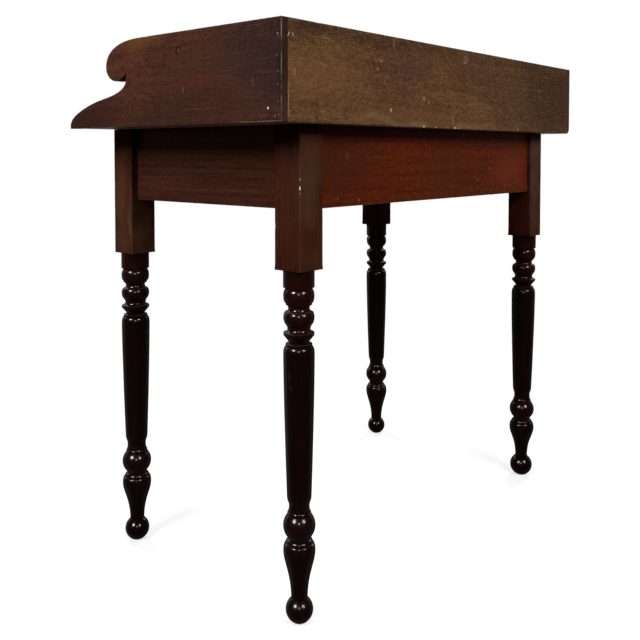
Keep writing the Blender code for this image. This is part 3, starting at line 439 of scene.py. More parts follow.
# Gallery back: the same stain faded by light to a golden olive brown, darker at its far end and its top
gallery_back_stain = stained_wood(
    "faded_stained_poplar", grain="x", roughness=(0.50, 0.64),
    warm=("#462d1a", "#5d4027", "#745538"), cool=("#412a1b", "#553826", "#674831"),
    pore="#2e1d10", dust="#846440", bare="#94774f", specks=0.55, scratches=0.7, wear=0.4,
    patches=[
        ((0.38, 0.245, 0.80), (0.16, 0.05, 0.075), "#6a4b2d", 0.65),
        ((0.40, 0.245, 0.874), (0.26, 0.05, 0.036), "#33251a", 0.90),
        ((0.16, 0.245, 0.870), (0.28, 0.05, 0.026), "#38241a", 0.80),
        ((0.15, 0.245, 0.835), (0.10, 0.05, 0.030), "#49302a", 0.65),
        ((-0.02, 0.245, 0.835), (0.13, 0.05, 0.045), "#4a2d24", 0.60),
        ((0.10, 0.245, 0.752), (0.28, 0.05, 0.024), "#64432a", 0.60),
        ((-0.22, 0.245, 0.790), (0.09, 0.05, 0.040), "#4c3623", 0.50),
        ((-0.37, 0.245, 0.805), (0.34, 0.06, 0.160), "#332017", 0.92),
        ((-0.25, 0.245, 0.870), (0.24, 0.05, 0.028), "#35241a", 0.75),
        ((0.10, 0.245, 0.737), (0.42, 0.05, 0.010), "#7d5f42", 0.70),
        ((0.3919, 0.249, 0.7390), (0.010, 0.02, 0.009), "#2c100a", 0.95),
        ((0.0298, 0.249, 0.7405), (0.007, 0.02, 0.007), "#2a120a", 0.90),
        ((-0.3950, 0.249, 0.7395), (0.009, 0.02, 0.008), "#24110b", 0.90),
    ],
    marks=on_face("y", 0.249, 0.004, [
        (0.4452, 0.849, 0.0032, 0.0009, "#b8aa9a", 0.75, 0.2),
        (0.4425, 0.8517, 0.0008, 0.0028, "#cdc2b4", 0.8, 0.2),
        (0.4352, 0.8512, 0.0009, 0.0034, "#c4b8a8", 0.8, 0.3),
        (0.4316, 0.8476, 0.0013, 0.001, "#a08c76", 0.7),
        (0.4278, 0.8462, 0.0008, 0.0014, "#93805f", 0.65),
        (0.2027, 0.863, 0.0016, 0.014, "#7a6250", 0.75, 0.08),
        (-0.0156, 0.8575, 0.012, 0.0085, "#6f5a44", 0.55),
        (-0.013, 0.851, 0.007, 0.0012, "#9a8268", 0.7, 0.1),
        (0.2101, 0.76, 0.0022, 0.0034, "#c0a283", 0.9),
        (0.1176, 0.7816, 0.003, 0.003, "#a98a75", 0.85),
        (0.103, 0.7758, 0.002, 0.0026, "#9b7c66", 0.75),
        (0.2366, 0.8331, 0.0026, 0.0026, "#a3845c", 0.75),
        (0.2442, 0.8204, 0.003, 0.0028, "#8e7150", 0.7),
        (0.2261, 0.8036, 0.0014, 0.005, "#8a6c4e", 0.65),
        (0.431, 0.802, 0.0012, 0.008, "#967a58", 0.65),
        (0.0267, 0.75, 0.0013, 0.011, "#a08066", 0.75, 0.05),
        (0.02, 0.774, 0.0011, 0.015, "#7f604a", 0.65, -0.05),
        (-0.1498, 0.7687, 0.0014, 0.008, "#7d6350", 0.65, 0.2),
        (0.1171, 0.7362, 0.004, 0.0022, "#cdb89e", 0.9),
        (0.08, 0.736, 0.0028, 0.0018, "#c4ad92", 0.85),
        (0.019, 0.7362, 0.005, 0.002, "#d6c4ac", 0.9),
        (0.0065, 0.7358, 0.004, 0.0018, "#b89c7e", 0.85),
        (-0.2158, 0.7385, 0.0016, 0.0045, "#a48c74", 0.8, 0.2),
        (0.4458, 0.805, 0.0016, 0.09, "#180f0a", 0.85),
        (0.4438, 0.762, 0.0008, 0.032, "#97836a", 0.7),
    ]),
)

# Side aprons: cherry stained dark
side_apron_stain = stained_wood(
    "dark_stained_cherry", grain="y", roughness=(0.40, 0.52),
    warm=("#311611", "#401f17", "#4e2a1f"), cool=("#2c150d", "#3b2015", "#482c1e"),
    pore="#160a06", dust="#4c3022", bare="#6a4a36",
    specks=0.14, mottle=0.40, streaks=(4, 190, 190), scratches=0.25, wear=0.4,
)

# Back apron, and below the drawer front and rails: a brick red stain that lies thin on cherry
thin_stain = {
    "grain": "x", "roughness": (0.46, 0.60), "pore": "#2a0d05", "dust": "#6a381f", "bare": "#7d4f33",
    "streaks": (4, 140, 140), "scratches": 0.35, "wear": 0.45,
}
back_apron_stain = stained_wood(
    "brick_red_stained_cherry", **thin_stain, specks=0.22, mottle=0.60,
    warm=("#3d1107", "#531d0b", "#662812"), cool=("#381307", "#4b1f0b", "#5c2a15"),
    patches=[
        ((0.29, 0.21, 0.675), (0.14, 0.03, 0.090), "#391a0c", 0.75),
        ((0.00, 0.21, 0.655), (0.10, 0.03, 0.050), "#4c2413", 0.40),
        ((-0.25, 0.21, 0.655), (0.12, 0.03, 0.050), "#6c2a1a", 0.70),
    ],
    marks=on_face("y", 0.211, 0.004, [
        (-0.1753, 0.6642, 0.0018, 0.003, "#8d6444", 0.8),
        (-0.1289, 0.642, 0.006, 0.0014, "#7a4c30", 0.65, 0.3),
        (-0.118, 0.648, 0.005, 0.0012, "#7a4c30", 0.55, -0.2),
        (-0.2376, 0.6291, 0.002, 0.002, "#8d6a4c", 0.75),
        (-0.256, 0.628, 0.0024, 0.0016, "#80573a", 0.7),
        (0.2411, 0.6206, 0.0022, 0.0022, "#8d6a4c", 0.75),
        (0.2928, 0.626, 0.0014, 0.003, "#80573a", 0.7),
        (0.27, 0.69, 0.006, 0.007, "#5e3a1e", 0.45),
    ]),
)

# Posts of the legs: cherry stained brown, redder on the sides and greyed on the back faces, with painted
# light on the lower back face of the front right post
post_stain = stained_wood(
    "brown_stained_cherry", grain="z", roughness=(0.42, 0.54), shine=0.003,
    warm=("#331209", "#3d170c", "#471e10"), cool=("#2c1209", "#38190d", "#432113"),
    pore="#140905", pores=0.35, dust="#4a2f20", bare="#6a4a36",
    specks=0.14, mottle=0.45, streaks=(5, 170, 170), scratches=0.20, wear=0.08, relief=0.15,
    patches=[
        ((0.361, 0.224, 0.615), (0.060, 0.016, 0.240), "#46301d", 0.85),
        ((0.361, 0.193, 0.515), (0.050, 0.050, 0.060), "#2a130b", 0.60),
        ((-0.361, 0.224, 0.640), (0.060, 0.016, 0.200), "#504034", 0.82),
        # Painted light: the lower back face of the front right post is lightened where lamplight would reach
        # it under the table
        ((0.361, -0.172, 0.520), (0.080, 0.014, 0.170), "#634630", 0.90),
        ((0.388, -0.205, 0.590), (0.014, 0.040, 0.160), "#5a3a2a", 0.70),
    ],
    marks=[
        ((0.3862, 0.2180, 0.6562), (0.0016, 0.0016, 0.0030), (0, 0, 0), "#a8967c", 0.80),
        ((0.3862, 0.2178, 0.6440), (0.0015, 0.0018, 0.0038), (0, 0, 0), "#d9cfbe", 0.90),
        ((0.3860, 0.2182, 0.6365), (0.0012, 0.0012, 0.0018), (0, 0, 0), "#a8967c", 0.75),
        ((0.3860, 0.2180, 0.6220), (0.0012, 0.0012, 0.0045), (0, 0, 0), "#6d5746", 0.55),
    ],
)

# Turned work of the legs and knobs: stained almost black and polished while it spun
turned_polish = stained_wood(
    "black_polished_cherry", grain="z", roughness=(0.15, 0.22), rim=0.9,
    warm=("#060101", "#0d0202", "#170403"), cool=("#060101", "#0b0302", "#130504"),
    pore="#050201", pores=0.25, dust="#2a1710", bare="#4a2c1c",
    specks=0.10, scratches=0.12, wear=0.30, relief=0.06,
    patches=[
        ((across, depth, height), (0.060, 0.060, reach), tone, 0.70)
        for across in (0.361, -0.361)
        for depth in (0.193, -0.199)
        for height, reach, tone in ((0.480, 0.085, "#2a0d07"), (0.140, 0.045, "#1e090a"))
    ],
    marks=[
        ((0.3834, 0.1946, 0.3720), (0.0010, 0.0010, 0.0130), (0, 0, 0), "#33241f", 0.80),
        ((0.3832, 0.1958, 0.3580), (0.0011, 0.0011, 0.0040), (0, 0, 0), "#3a2922", 0.80),
        ((0.3828, 0.1978, 0.3525), (0.0016, 0.0016, 0.0026), (0, 0, 0), "#3a2922", 0.75),
    ],
)

# Writing top and the inside faces: same stain as the sides, rubbed by sleeves and marked with ink
top_stain = stained_wood(
    "rubbed_stained_poplar", grain="x", roughness=(0.40, 0.58), shine=0.02,
    warm=("#371d17", "#4b2c20", "#5c3a2b"), cool=("#332119", "#442d22", "#533b2d"),
    pore="#24120d", dust="#6a4a3c", bare="#6e5142", specks=0.18, mottle=0.40, wear=0.30,
    patches=[
        ((0.05, -0.16, 0.755), (0.30, 0.10, 0.03), "#6a4730", 0.55),
        ((-0.28, 0.02, 0.755), (0.12, 0.12, 0.03), "#3a231b", 0.50),
        ((0.30, 0.10, 0.755), (0.16, 0.10, 0.03), "#553523", 0.45),
    ],
    marks=on_face("z", 0.755, 0.004, [
        (0.275, 0.135, 0.01, 0.008, "#120c12", 0.8, 0.4),
        (0.291, 0.121, 0.004, 0.003, "#120c12", 0.8),
        (0.262, 0.148, 0.003, 0.0025, "#16101a", 0.7),
        (-0.08, -0.12, 0.045, 0.0012, "#8b6a54", 0.55, 0.35),
        (0.12, -0.06, 0.03, 0.001, "#8b6a54", 0.5, -0.6),
    ]),
)

# Drawer front and rails: the back apron's stain, handled dark round the knobs
drawer_front_stain = stained_wood(
    "handled_stained_cherry", **thin_stain, specks=0.16, mottle=0.40,
    warm=("#34150b", "#471f12", "#582d1c"), cool=("#301809", "#412211", "#51301d"),
    patches=[
        ((-0.175, -0.222, 0.6765), (0.060, 0.02, 0.045), "#1f0e08", 0.70),
        ((0.175, -0.222, 0.6765), (0.060, 0.02, 0.045), "#1f0e08", 0.70),
        ((0.0, -0.222, 0.70), (0.20, 0.02, 0.03), "#5a2f1c", 0.45),
    ],
    marks=on_face("y", -0.222, 0.004, [
        (0.06, 0.665, 0.018, 0.001, "#7d5238", 0.6, 0.25),
        (-0.235, 0.652, 0.01, 0.0012, "#7d5238", 0.6, -0.5),
        (0.268, 0.701, 0.003, 0.0024, "#8d6a4c", 0.7),
    ]),
)

# Inside of the frame and drawer: bare pine, oxidised to a dull honey brown
bare_pine = {
    "roughness": (0.62, 0.78), "shine": 0.05,
    "warm": ("#7c5531", "#9e7245", "#b58858"), "cool": ("#715134", "#906a45", "#a77f57"),
    "pore": "#5d4226", "pores": 0.30, "dust": "#c8a878", "bare": "#c9ab7d",
    "specks": 0.16, "mottle": 0.22, "streaks": (4, 120, 120), "scratches": 0.3, "wear": 0.4, "relief": 0.35,
    "patches": [
        ((0.12, -0.02, 0.647), (0.22, 0.10, 0.020), "#6d4f2e", 0.45),
        ((-0.25, 0.10, 0.647), (0.16, 0.08, 0.020), "#73532f", 0.40),
    ],
    "marks": on_face("z", 0.647, 0.012, [
        (-0.135, -0.075, 0.015, 0.0085, "#6a4422", 0.75, 0.1),
        (-0.135, -0.075, 0.0085, 0.005, "#452a14", 0.85, 0.1),
        (0.218, 0.058, 0.012, 0.007, "#6a4422", 0.75, -0.2),
        (0.218, 0.058, 0.0066, 0.004, "#452a14", 0.85, -0.2),
        (0.06, -0.15, 0.016, 0.012, "#2b2733", 0.55, 0.5),
        (0.083, -0.141, 0.0036, 0.003, "#2b2733", 0.6),
    ]),
}
pine_along = stained_wood("bare_pine_lengthwise", grain="y", **bare_pine)
pine_across = stained_wood("bare_pine_crosswise", grain="x", **bare_pine)

# Screws and nails: iron gone brown with rust
iron = metal("rusted_screw_iron", "#6e6862", "#3a2418", 0.5)
nail_iron = metal("worn_nail_iron", "#625a55", "#3e302a", 0.60)


# Shapes

def linked(name, data):
    """A new object in the scene."""
    made = bpy.data.objects.new(name, data)
    bpy.context.scene.collection.objects.link(made)
    return made


def shape_of(mesh):
    shape = bmesh.new()
    shape.from_mesh(mesh)
    return shape


def made_whole(shape):
    """Merge a shape's corners and the pieces of its flat faces."""
    bmesh.ops.remove_doubles(shape, verts=shape.verts, dist=MERGE)
    bmesh.ops.dissolve_limit(shape, angle_limit=FLAT_ANGLE, verts=shape.verts, edges=shape.edges)
    return shape


def from_node(name):
    """A copy of a CAD node's solid, its flat faces made whole again."""
    source = nodes[name].data
    plain = bpy.data.meshes.new(name)
    plain.from_pydata([v.co[:] for v in source.vertices], [], [p.vertices[:] for p in source.polygons])
    shape = shape_of(plain)
    bpy.data.meshes.remove(plain)
    return made_whole(shape)


def to_mesh(name, shape):
    mesh = bpy.data.meshes.new(name)
    bmesh.ops.recalc_face_normals(shape, faces=shape.faces)
    shape.to_mesh(mesh)
    shape.free()
    return mesh


def box_shape(low, high):
    shape = bmesh.new()
    bmesh.ops.create_cube(shape, size=1.0)
    low, high = Vector(low), Vector(high)
    bmesh.ops.scale(shape, vec=high - low, verts=shape.verts)
    bmesh.ops.translate(shape, vec=(low + high) / 2, verts=shape.verts)
    return shape


def evaluated(holder):
    """Plain mesh of an object with its modifiers, and the object put away."""
    bpy.context.view_layer.update()
    graph = bpy.context.evaluated_depsgraph_get()
    mesh = bpy.data.meshes.new_from_object(holder.evaluated_get(graph))
    bpy.data.objects.remove(holder, do_unlink=True)
    return mesh


def combined(name, mesh, other, operation):
    """Fuse another mesh to a mesh, or cut it out."""
    holder = linked(name, mesh)
    tool = linked(f"{name}_tool", other)
    boolean = holder.modifiers.new("combine", "BOOLEAN")
    boolean.operation = operation
    boolean.solver = "MANIFOLD"
    boolean.object = tool
    result = evaluated(holder)
    bpy.data.objects.remove(tool, do_unlink=True)
    return result


def slice_through(shape, place, facing, clear=False):
    """Draw a plane's line round a shape, and clear away what lies behind the plane where asked."""
    everything = shape.verts[:] + shape.edges[:] + shape.faces[:]
    bmesh.ops.bisect_plane(
        shape, geom=everything, dist=CUT_TOLERANCE, plane_co=place, plane_no=facing, clear_inner=clear
    )


def arris_points(edges, step=0.0015):
    """Points along the sharp outer edges of a shape."""
    points = []
    for edge in edges:
        a, b = edge.verts[0].co, edge.verts[1].co
        count = max(1, math.ceil((b - a).length / step))
        points += [a.lerp(b, index / count) for index in range(count + 1)]
    return points


def nearest(points):
    tree = kdtree.KDTree(len(points))
    for index, point in enumerate(points):
        tree.insert(point, index)
    tree.balance()
    return tree


def age(shape, arris, cell, nicks, seed, wander=0.00008):
    """Round a board's arrises unevenly, nick them, and let its faces wander as hand-planed ones do."""
    shape.normal_update()
    sharp = [e for e in shape.edges if e.is_manifold and e.calc_face_angle_signed() > SHARP_ANGLE]
    points = arris_points(sharp)
    rounding = {"offset": arris, "offset_type": "OFFSET", "segments": 3, "profile": 0.5}
    bmesh.ops.bevel(shape, geom=sharp, affect="EDGES", clamp_overlap=False, **rounding)
    low = Vector(map(min, zip(*(v.co for v in shape.verts))))
    high = Vector(map(max, zip(*(v.co for v in shape.verts))))
    for axis in range(3):
        cuts = [low[axis] + END_ROW, high[axis] - END_ROW]
        count = max(1, round((high[axis] - low[axis]) / cell))
        cuts += [low[axis] + (high[axis] - low[axis]) * index / count for index in range(1, count)]
        facing = Vector((axis == 0, axis == 1, axis == 2))
        for cut in cuts:
            slice_through(shape, facing * cut, facing)
    shape.normal_update()
    tree = nearest(points)
    offset = Vector((seed * 3.7, seed * 1.3, seed * 2.1))
    for vert in shape.verts:
        place = vert.co
        near = max(0.0, 1.0 - tree.find(place)[2] / WORN_REACH)
        rubbed = 0.5 + 0.5 * noise.noise(place * RUB_WAVES + offset)
        nick = max(0.0, noise.noise(place * NICK_WAVES + offset) - NICK_LEVEL)
        depth = near * near * nicks * (RUB_SHARE * rubbed + NICK_SHARE * nick)
        depth += wander * (0.5 + 0.5 * noise.noise(place * PLANE_WAVES + offset))
        vert.co = place - vert.normal * depth
    return points


def wear(mesh, points, reach=0.007):
    """Mark how near each corner of a mesh is to a worn edge."""
    tree = nearest(points)
    layer = mesh.attributes.new("worn", "FLOAT", "POINT")
    for vert in mesh.vertices:
        layer.data[vert.index].value = max(0.0, 1.0 - tree.find(vert.co)[2] / reach)


def show(name, mesh, finish, body, slot, *stands_for):
    """Enter a piece: smooth shading with crisp arrises, its finish, its body and the nodes it stands for."""
    mesh.materials.clear()
    mesh.materials.append(finish)
    mesh.polygons.foreach_set("use_smooth", [True] * len(mesh.polygons))
    mesh.set_sharp_from_angle(angle=CREASE_ANGLE)
    mesh.name = name
    piece = linked(name, mesh)
    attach(piece, body)
    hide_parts(*stands_for)


def new_tree(name, inputs, output):
    """A tree of geometry nodes with its sockets, and the node that hands in its inputs."""
    tree = bpy.data.node_groups.new(name, "GeometryNodeTree")
    for label, kind in inputs.items():
        tree.interface.new_socket(label, in_out="INPUT", socket_type=f"NodeSocket{kind}")
    tree.interface.new_socket(output, in_out="OUTPUT", socket_type="NodeSocketGeometry")
    return tree, add(tree, "NodeGroupInput")


def end_tree(tree, made, given):
    """Make what a tree of geometry nodes made plain, give it its finish and hand it out."""
    real = add(tree, "GeometryNodeRealizeInstances", {"Geometry": made})
    finished = add(tree, "GeometryNodeSetMaterial", {"Geometry": real, "Material": given.outputs["Finish"]})
    add(tree, "NodeGroupOutput", {0: finished})


def worked(mesh, tree, inputs):
    """Plain mesh that a tree of geometry nodes makes of a mesh, with its inputs set by name."""
    holder = linked(mesh.name, mesh)
    working = holder.modifiers.new(tree.name, "NODES")
    working.node_group = tree
    for socket in tree.interface.items_tree:
        if socket.name in inputs:
            working[socket.identifier] = inputs[socket.name]
    return evaluated(holder)


# Turned work

def arc(start, end, leaves, steps):
    """Quarter of an ellipse between two profile points, leaving along the radius or along the axis."""
    points = []
    for step in range(1, steps + 1):
        angle = math.pi / 2 * step / steps
        early, late = math.sin(angle), 1 - math.cos(angle)
        outward, downward = (early, late) if leaves == "radius" else (late, early)
        points.append((start[0] + (end[0] - start[0]) * outward, start[1] + (end[1] - start[1]) * downward))
    return points


def ogee(start, end, lead, trail, steps):
    """Reverse curve down a profile, upright at both ends."""
    handles = (start[0], start[1] - lead), (end[0], end[1] + trail)
    return [tuple(point.to_2d()) for point in interpolate_bezier(start, *handles, end, steps + 1)[1:]]


def straight(start, end, steps):
    return [
        (start[0] + (end[0] - start[0]) * step / steps, start[1] + (end[1] - start[1]) * step / steps)
        for step in range(1, steps + 1)
    ]


def ball(centre, radius, top, bottom, steps=20):
    """Arc of a ball on the axis, between two radii above and below its middle."""
    first, last = math.asin(top / radius), math.pi - math.asin(bottom / radius)
    angles = [first + (last - first) * step / steps for step in range(steps + 1)]
    return [(radius * math.sin(angle), centre + radius * math.cos(angle)) for angle in angles]


# Upper turning below the groove: how each form is drawn, the radius it ends with, its fall, way and steps
UPPER_TURNING = [
    (arc, 0.0233, 0.0101, "radius", 10),  # upper bead, outwards
    (arc, 0.0197, 0.0108, "axis", 14),  # upper bead, inwards
    (straight, 0.0197, 0.0024, 1),  # fillet
    (arc, 0.0161, 0.0050, "radius", 9),  # cove, inwards
    (arc, 0.0197, 0.0050, "axis", 9),  # cove, outwards
    (arc, 0.0233, 0.0088, "radius", 12),  # lower bead, outwards
    (ogee, 0.0173, 0.0168, 0.00924, 0.006048, 18),  # lower bead, down to the waist
    (arc, 0.0233, 0.0052, "axis", 8),  # flare of the ring
    (straight, 0.0233, 0.0020, 2),  # edge of the ring
    (arc, 0.0221, 0.0030, "axis", 5),  # its lower edge, rounded
    (straight, 0.0157, 0.0080, 4),  # slope under the ring
    (straight, 0.0157, 0.0034, 1),  # neck
    (straight, 0.0199, 0.0, 1),  # step of the shoulder
    (straight, 0.0203, 0.0040, 1),  # fillet of the shoulder
    (arc, 0.0236, 0.0115, "radius", 12),  # shoulder, out to the shaft
]


def upper_turning(hand):
    """Collar, two beads, ring and shoulder, from inside the post down to the shaft."""
    top = POST_BOTTOM + hand["post"]
    groove = POST_BOTTOM + hand["beads"] - COLLAR_LENGTH
    line = [(COLLAR_RADIUS, top + POST_ROOT)]
    line += straight(line[-1], (COLLAR_RADIUS, top - COLLAR_ROW), 2)
    line += straight(line[-1], (COLLAR_RADIUS, groove + GROOVE_HALF), 6)
    line.append((GROOVE_RADIUS, groove))
    for form, radius, fall, *way in UPPER_TURNING:
        line += form(line[-1], (radius, line[-1][1] - fall), *way)
    return [(0.0, top + POST_ROOT)] + [(radius * hand["girth"], height) for radius, height in line]


def lower_turning(hand):
    """Ankle, ball, vase and ball foot, down to the small flat that stands on the floor."""
    girth, lift = hand["girth"], hand["vase"]
    foot, vase_top = hand["foot"], VASE_TOP_HEIGHT + hand["vase"]
    line = [(SHAFT_FOOT_RADIUS - SHAFT_EDGE[0], SHAFT_FOOT_HEIGHT - SHAFT_EDGE[1] + hand["ankle"])]
    line += ogee(line[-1], (ANKLE_RADIUS, ANKLE_HEIGHT + hand["ankle"]), ANKLE_LEAD, ANKLE_TRAIL, 10)
    line += arc(line[-1], (ANKLE_FOOT_RADIUS, ANKLE_FOOT_HEIGHT + hand["ball"]), "axis", 8)
    rims = ANKLE_FOOT_RADIUS + ANKLE_STEP, NECKING_RADIUS + NECKING_STEP
    line += ball(BALL_HEIGHT + hand["ball"], BALL_RADIUS, *rims)
    line.append((NECKING_RADIUS, min(line[-1][1] - NECKING_DROP, vase_top + NECKING_LENGTH)))
    line.append((NECKING_RADIUS, vase_top))
    line += arc(line[-1], (VASE_FILLET_RADIUS, VASE_FILLET_HEIGHT + lift), "radius", 7)
    line.append((VASE_FILLET_RADIUS + VASE_FILLET_STEP, VASE_FILLET_HEIGHT - VASE_FILLET_STEP + lift))
    line += arc(line[-1], (VASE_RADIUS, VASE_HEIGHT + lift), "radius", 10)
    line = [(radius * girth, height) for radius, height in line]
    centre = math.sqrt(foot**2 - FOOT_FLAT_RADIUS**2)
    sole = ball(centre, foot, STEM_RADIUS, FOOT_FLAT_RADIUS, 24)
    line += ogee(line[-1], sole[0], VASE_LEAD, STEM_TRAIL, 24)
    return line + sole[1:] + [(0.0, 0.0)]


def leg_line(hand):
    """Whole profile of a leg, with the slightly swelled shaft between its upper and lower turning."""
    upper, lower = upper_turning(hand), lower_turning(hand)
    top, foot = upper[-1], (SHAFT_FOOT_RADIUS * hand["girth"], SHAFT_FOOT_HEIGHT + hand["ankle"])
    shaft = []
    for step in range(1, SHAFT_STEPS + 1):
        share = step / SHAFT_STEPS
        radius = top[0] + (foot[0] - top[0]) * share**SHAFT_SWELL
        shaft.append((radius, top[1] + (foot[1] - top[1]) * share))
    return upper + shaft + lower


def lathe_tree():
    """Geometry nodes that turn a profile, given as a row of points in the XZ plane, round the Z axis."""
    inputs = {"Profile": "Geometry", "Sides": "Int", "Finish": "Material"}
    tree, given = new_tree("turn_on_the_lathe", inputs, "Turned")
    circle = {"Resolution": given.outputs["Sides"], "Radius": 1.0}
    ring = add(tree, "GeometryNodeCurvePrimitiveCircle", circle)
    line = add(tree, "GeometryNodeMeshToCurve", {"Mesh": given.outputs["Profile"]})
    # Laid flat, with the ring's own radius taken off, because the ring carries it
    flat = {"Geometry": line, "Translation": (-1.0, 0.0, 0.0), "Rotation": (math.pi / 2, 0.0, 0.0)}
    laid = add(tree, "GeometryNodeTransform", flat)
    swept = add(tree, "GeometryNodeCurveToMesh", {"Curve": ring.outputs["Curve"], "Profile Curve": laid})
    closed = add(tree, "GeometryNodeMergeByDistance", {"Geometry": swept, "Distance": MERGE})
    end_tree(tree, closed, given)
    return tree


lathe = lathe_tree()


def turned(name, line, sides):
    """A closed and polished turned mesh round the Z axis from a profile of radii and heights."""
    mesh = bpy.data.meshes.new(name)
    points = [(radius, 0.0, height) for radius, height in line]
    mesh.from_pydata(points, [(index, index + 1) for index in range(len(points) - 1)], [])
    return worked(mesh, lathe, {"Sides": sides, "Finish": turned_polish})


def post_of(name, foot_lift, seed):
    """Square post of a leg with its mortises, cut off the CAD leg, brought up to the top and aged."""
    shape = from_node(name)
    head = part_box(name)[1].z
    cut = POST_BOTTOM + POST_CUT
    slice_through(shape, (0, 0, cut), (0, 0, 1), clear=True)
    bmesh.ops.holes_fill(shape, edges=[edge for edge in shape.edges if edge.is_boundary], sides=0)
    for vert in shape.verts:
        if vert.co.z < cut + LEVEL:
            vert.co.z = POST_BOTTOM + foot_lift
        elif vert.co.z > head - LEVEL:
            vert.co.z = TOP_LOW - FIT
    bmesh.ops.recalc_face_normals(shape, faces=shape.faces)
    points = age(shape, *POST_WEAR, seed)
    return to_mesh(f"{name}_post", shape), points


def make_legs():
    """Four legs, each with a worn square post fused to finely turned work of its own."""
    for seed, (name, traits) in enumerate(LEG_HANDS.items()):
        hand = dict(zip(HAND, traits))
        low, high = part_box(name)
        middle = (low + high) / 2
        shape = shape_of(turned(name, leg_line(hand), TURNED_SIDES))
        offset = Vector((seed * 5.1, seed * 2.3, 0.0))
        for vert in shape.verts:
            radius = math.hypot(vert.co.x, vert.co.y)
            if radius > AXIS_CLEAR and vert.co.z > SOLE_CLEAR:
                sway = 1.0 - SWAY * (0.5 + 0.5 * noise.noise(vert.co * SWAY_WAVES + offset)) / radius
                vert.co.x *= sway
                vert.co.y *= sway
            fall = max(0.0, 1.0 - vert.co.z / POST_BOTTOM)
            vert.co.x += hand["lean"][0] * fall
            vert.co.y += hand["lean"][1] * fall
        bmesh.ops.translate(shape, vec=(middle.x, middle.y, 0.0), verts=shape.verts)
        post, points = post_of(name, hand["post"], seed + 1)
        mesh = combined(name, to_mesh(name, shape), post, "UNION")
        wear(mesh, points)
        show(f"{name}_turned", mesh, turned_polish, "table_frame", "turned_leg_wood", name)
        mesh.materials.append(post_stain)
        foot = POST_BOTTOM + hand["post"] - POLISH_EDGE
        for face in mesh.polygons:
            face.material_index = int(face.center.z > foot)


make_legs()


def make_knobs():
    """Two mushroom knobs, turned like the legs, with round tenons into the drawer front."""
    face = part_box("drawer_front")[0].y
    for side_name in SIDES:
        name = f"drawer_knob_{side_name}"
        low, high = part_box(name)
        reach, tenon_end = face - low.y, face - high.y
        rim = reach - KNOB_CROWN
        line = [(0.0, reach)]
        line += arc(line[-1], (KNOB_FACE_RADIUS, rim), "radius", 10)
        line.append((KNOB_FACE_RADIUS + KNOB_FACE_EDGE[0], rim - KNOB_FACE_EDGE[1]))
        line += arc(line[-1], (KNOB_RADIUS, reach - KNOB_RIM), "radius", 8)
        line += arc(line[-1], (KNOB_NECK_RADIUS, KNOB_NECK_TOP), "axis", 14)
        line += straight(line[-1], (KNOB_NECK_RADIUS, KNOB_NECK_FOOT), 2)
        line += arc(line[-1], (KNOB_BASE_RADIUS, KNOB_BASE_THICKNESS), "axis", 8)
        line += [(KNOB_BASE_RADIUS, FIT), (KNOB_TENON_RADIUS, FIT)]
        line += [(KNOB_TENON_RADIUS, tenon_end), (0.0, tenon_end)]
        shape = shape_of(turned(name, line, KNOB_SIDES))
        middle = (low + high) / 2
        place = Matrix.Translation((middle.x, face, middle.z)) @ Matrix.Rotation(math.pi / 2, 4, "X")
        bmesh.ops.transform(shape, matrix=place, verts=shape.verts)
        show(f"{name}_turned", to_mesh(name, shape), turned_polish, "drawer", "turned_leg_wood", name)


make_knobs()


# Gallery

def scroll_line():
    """Outline of a gallery side in depth and height: nose, wave, neck, cusp, lobe and crest."""

    def at(setback, height):
        return Vector((NOSE_PLANE + setback, height))

    front_slope = Vector((WAVE_FRONT_REACH, WAVE_FRONT_REACH * WAVE_SLOPE))
    rear_slope = Vector((WAVE_REAR_REACH, WAVE_REAR_REACH * WAVE_SLOPE))
    nose = at(0, TOP_LOW + NOSE_HEIGHT)
    wave = at(WAVE[0], TOP_LOW + WAVE[1])
    neck = at(NECK_SETBACK, TOP_HIGH - NECK_DROP)
    cusp = at(NECK_SETBACK, TOP_HIGH - CUSP_DROP)
    base = at(LOBE_BASE[0], TOP_HIGH - LOBE_BASE[1])
    reach = Vector((LOBE_BASE_REACH, 0.0))
    lobe = at(LOBE[0], TOP_HIGH - LOBE[1])
    crest = at(CREST_SETBACK, TOP_HIGH)
    up = Vector((0.0, 1.0))
    curves = [
        (nose, nose + Vector(NOSE_SPRING), wave - front_slope, wave),
        (wave, wave + rear_slope, neck - up * NECK_REACH, neck),
        (cusp, cusp - Vector((CUSP_REACH, CUSP_REACH * math.sqrt(2))), base + reach, base),
        (base, base - reach, lobe - up * LOBE_LOWER_REACH, lobe),
        (lobe, lobe + up * LOBE_UPPER_REACH, crest - Vector((CREST_REACH, 0.0)), crest),
    ]
    line = [at(0, TOP_LOW)]
    for curve in curves:
        line += [point.to_2d() for point in interpolate_bezier(*curve, SCROLL_STEPS)]
    line += [Vector((BACK_PLANE, TOP_HIGH)), Vector((BACK_PLANE, TOP_LOW))]
    kept = [line[0]]
    for point in line[1:]:
        if (point - kept[-1]).length > SCROLL_GAP:
            kept.append(point)
    return kept


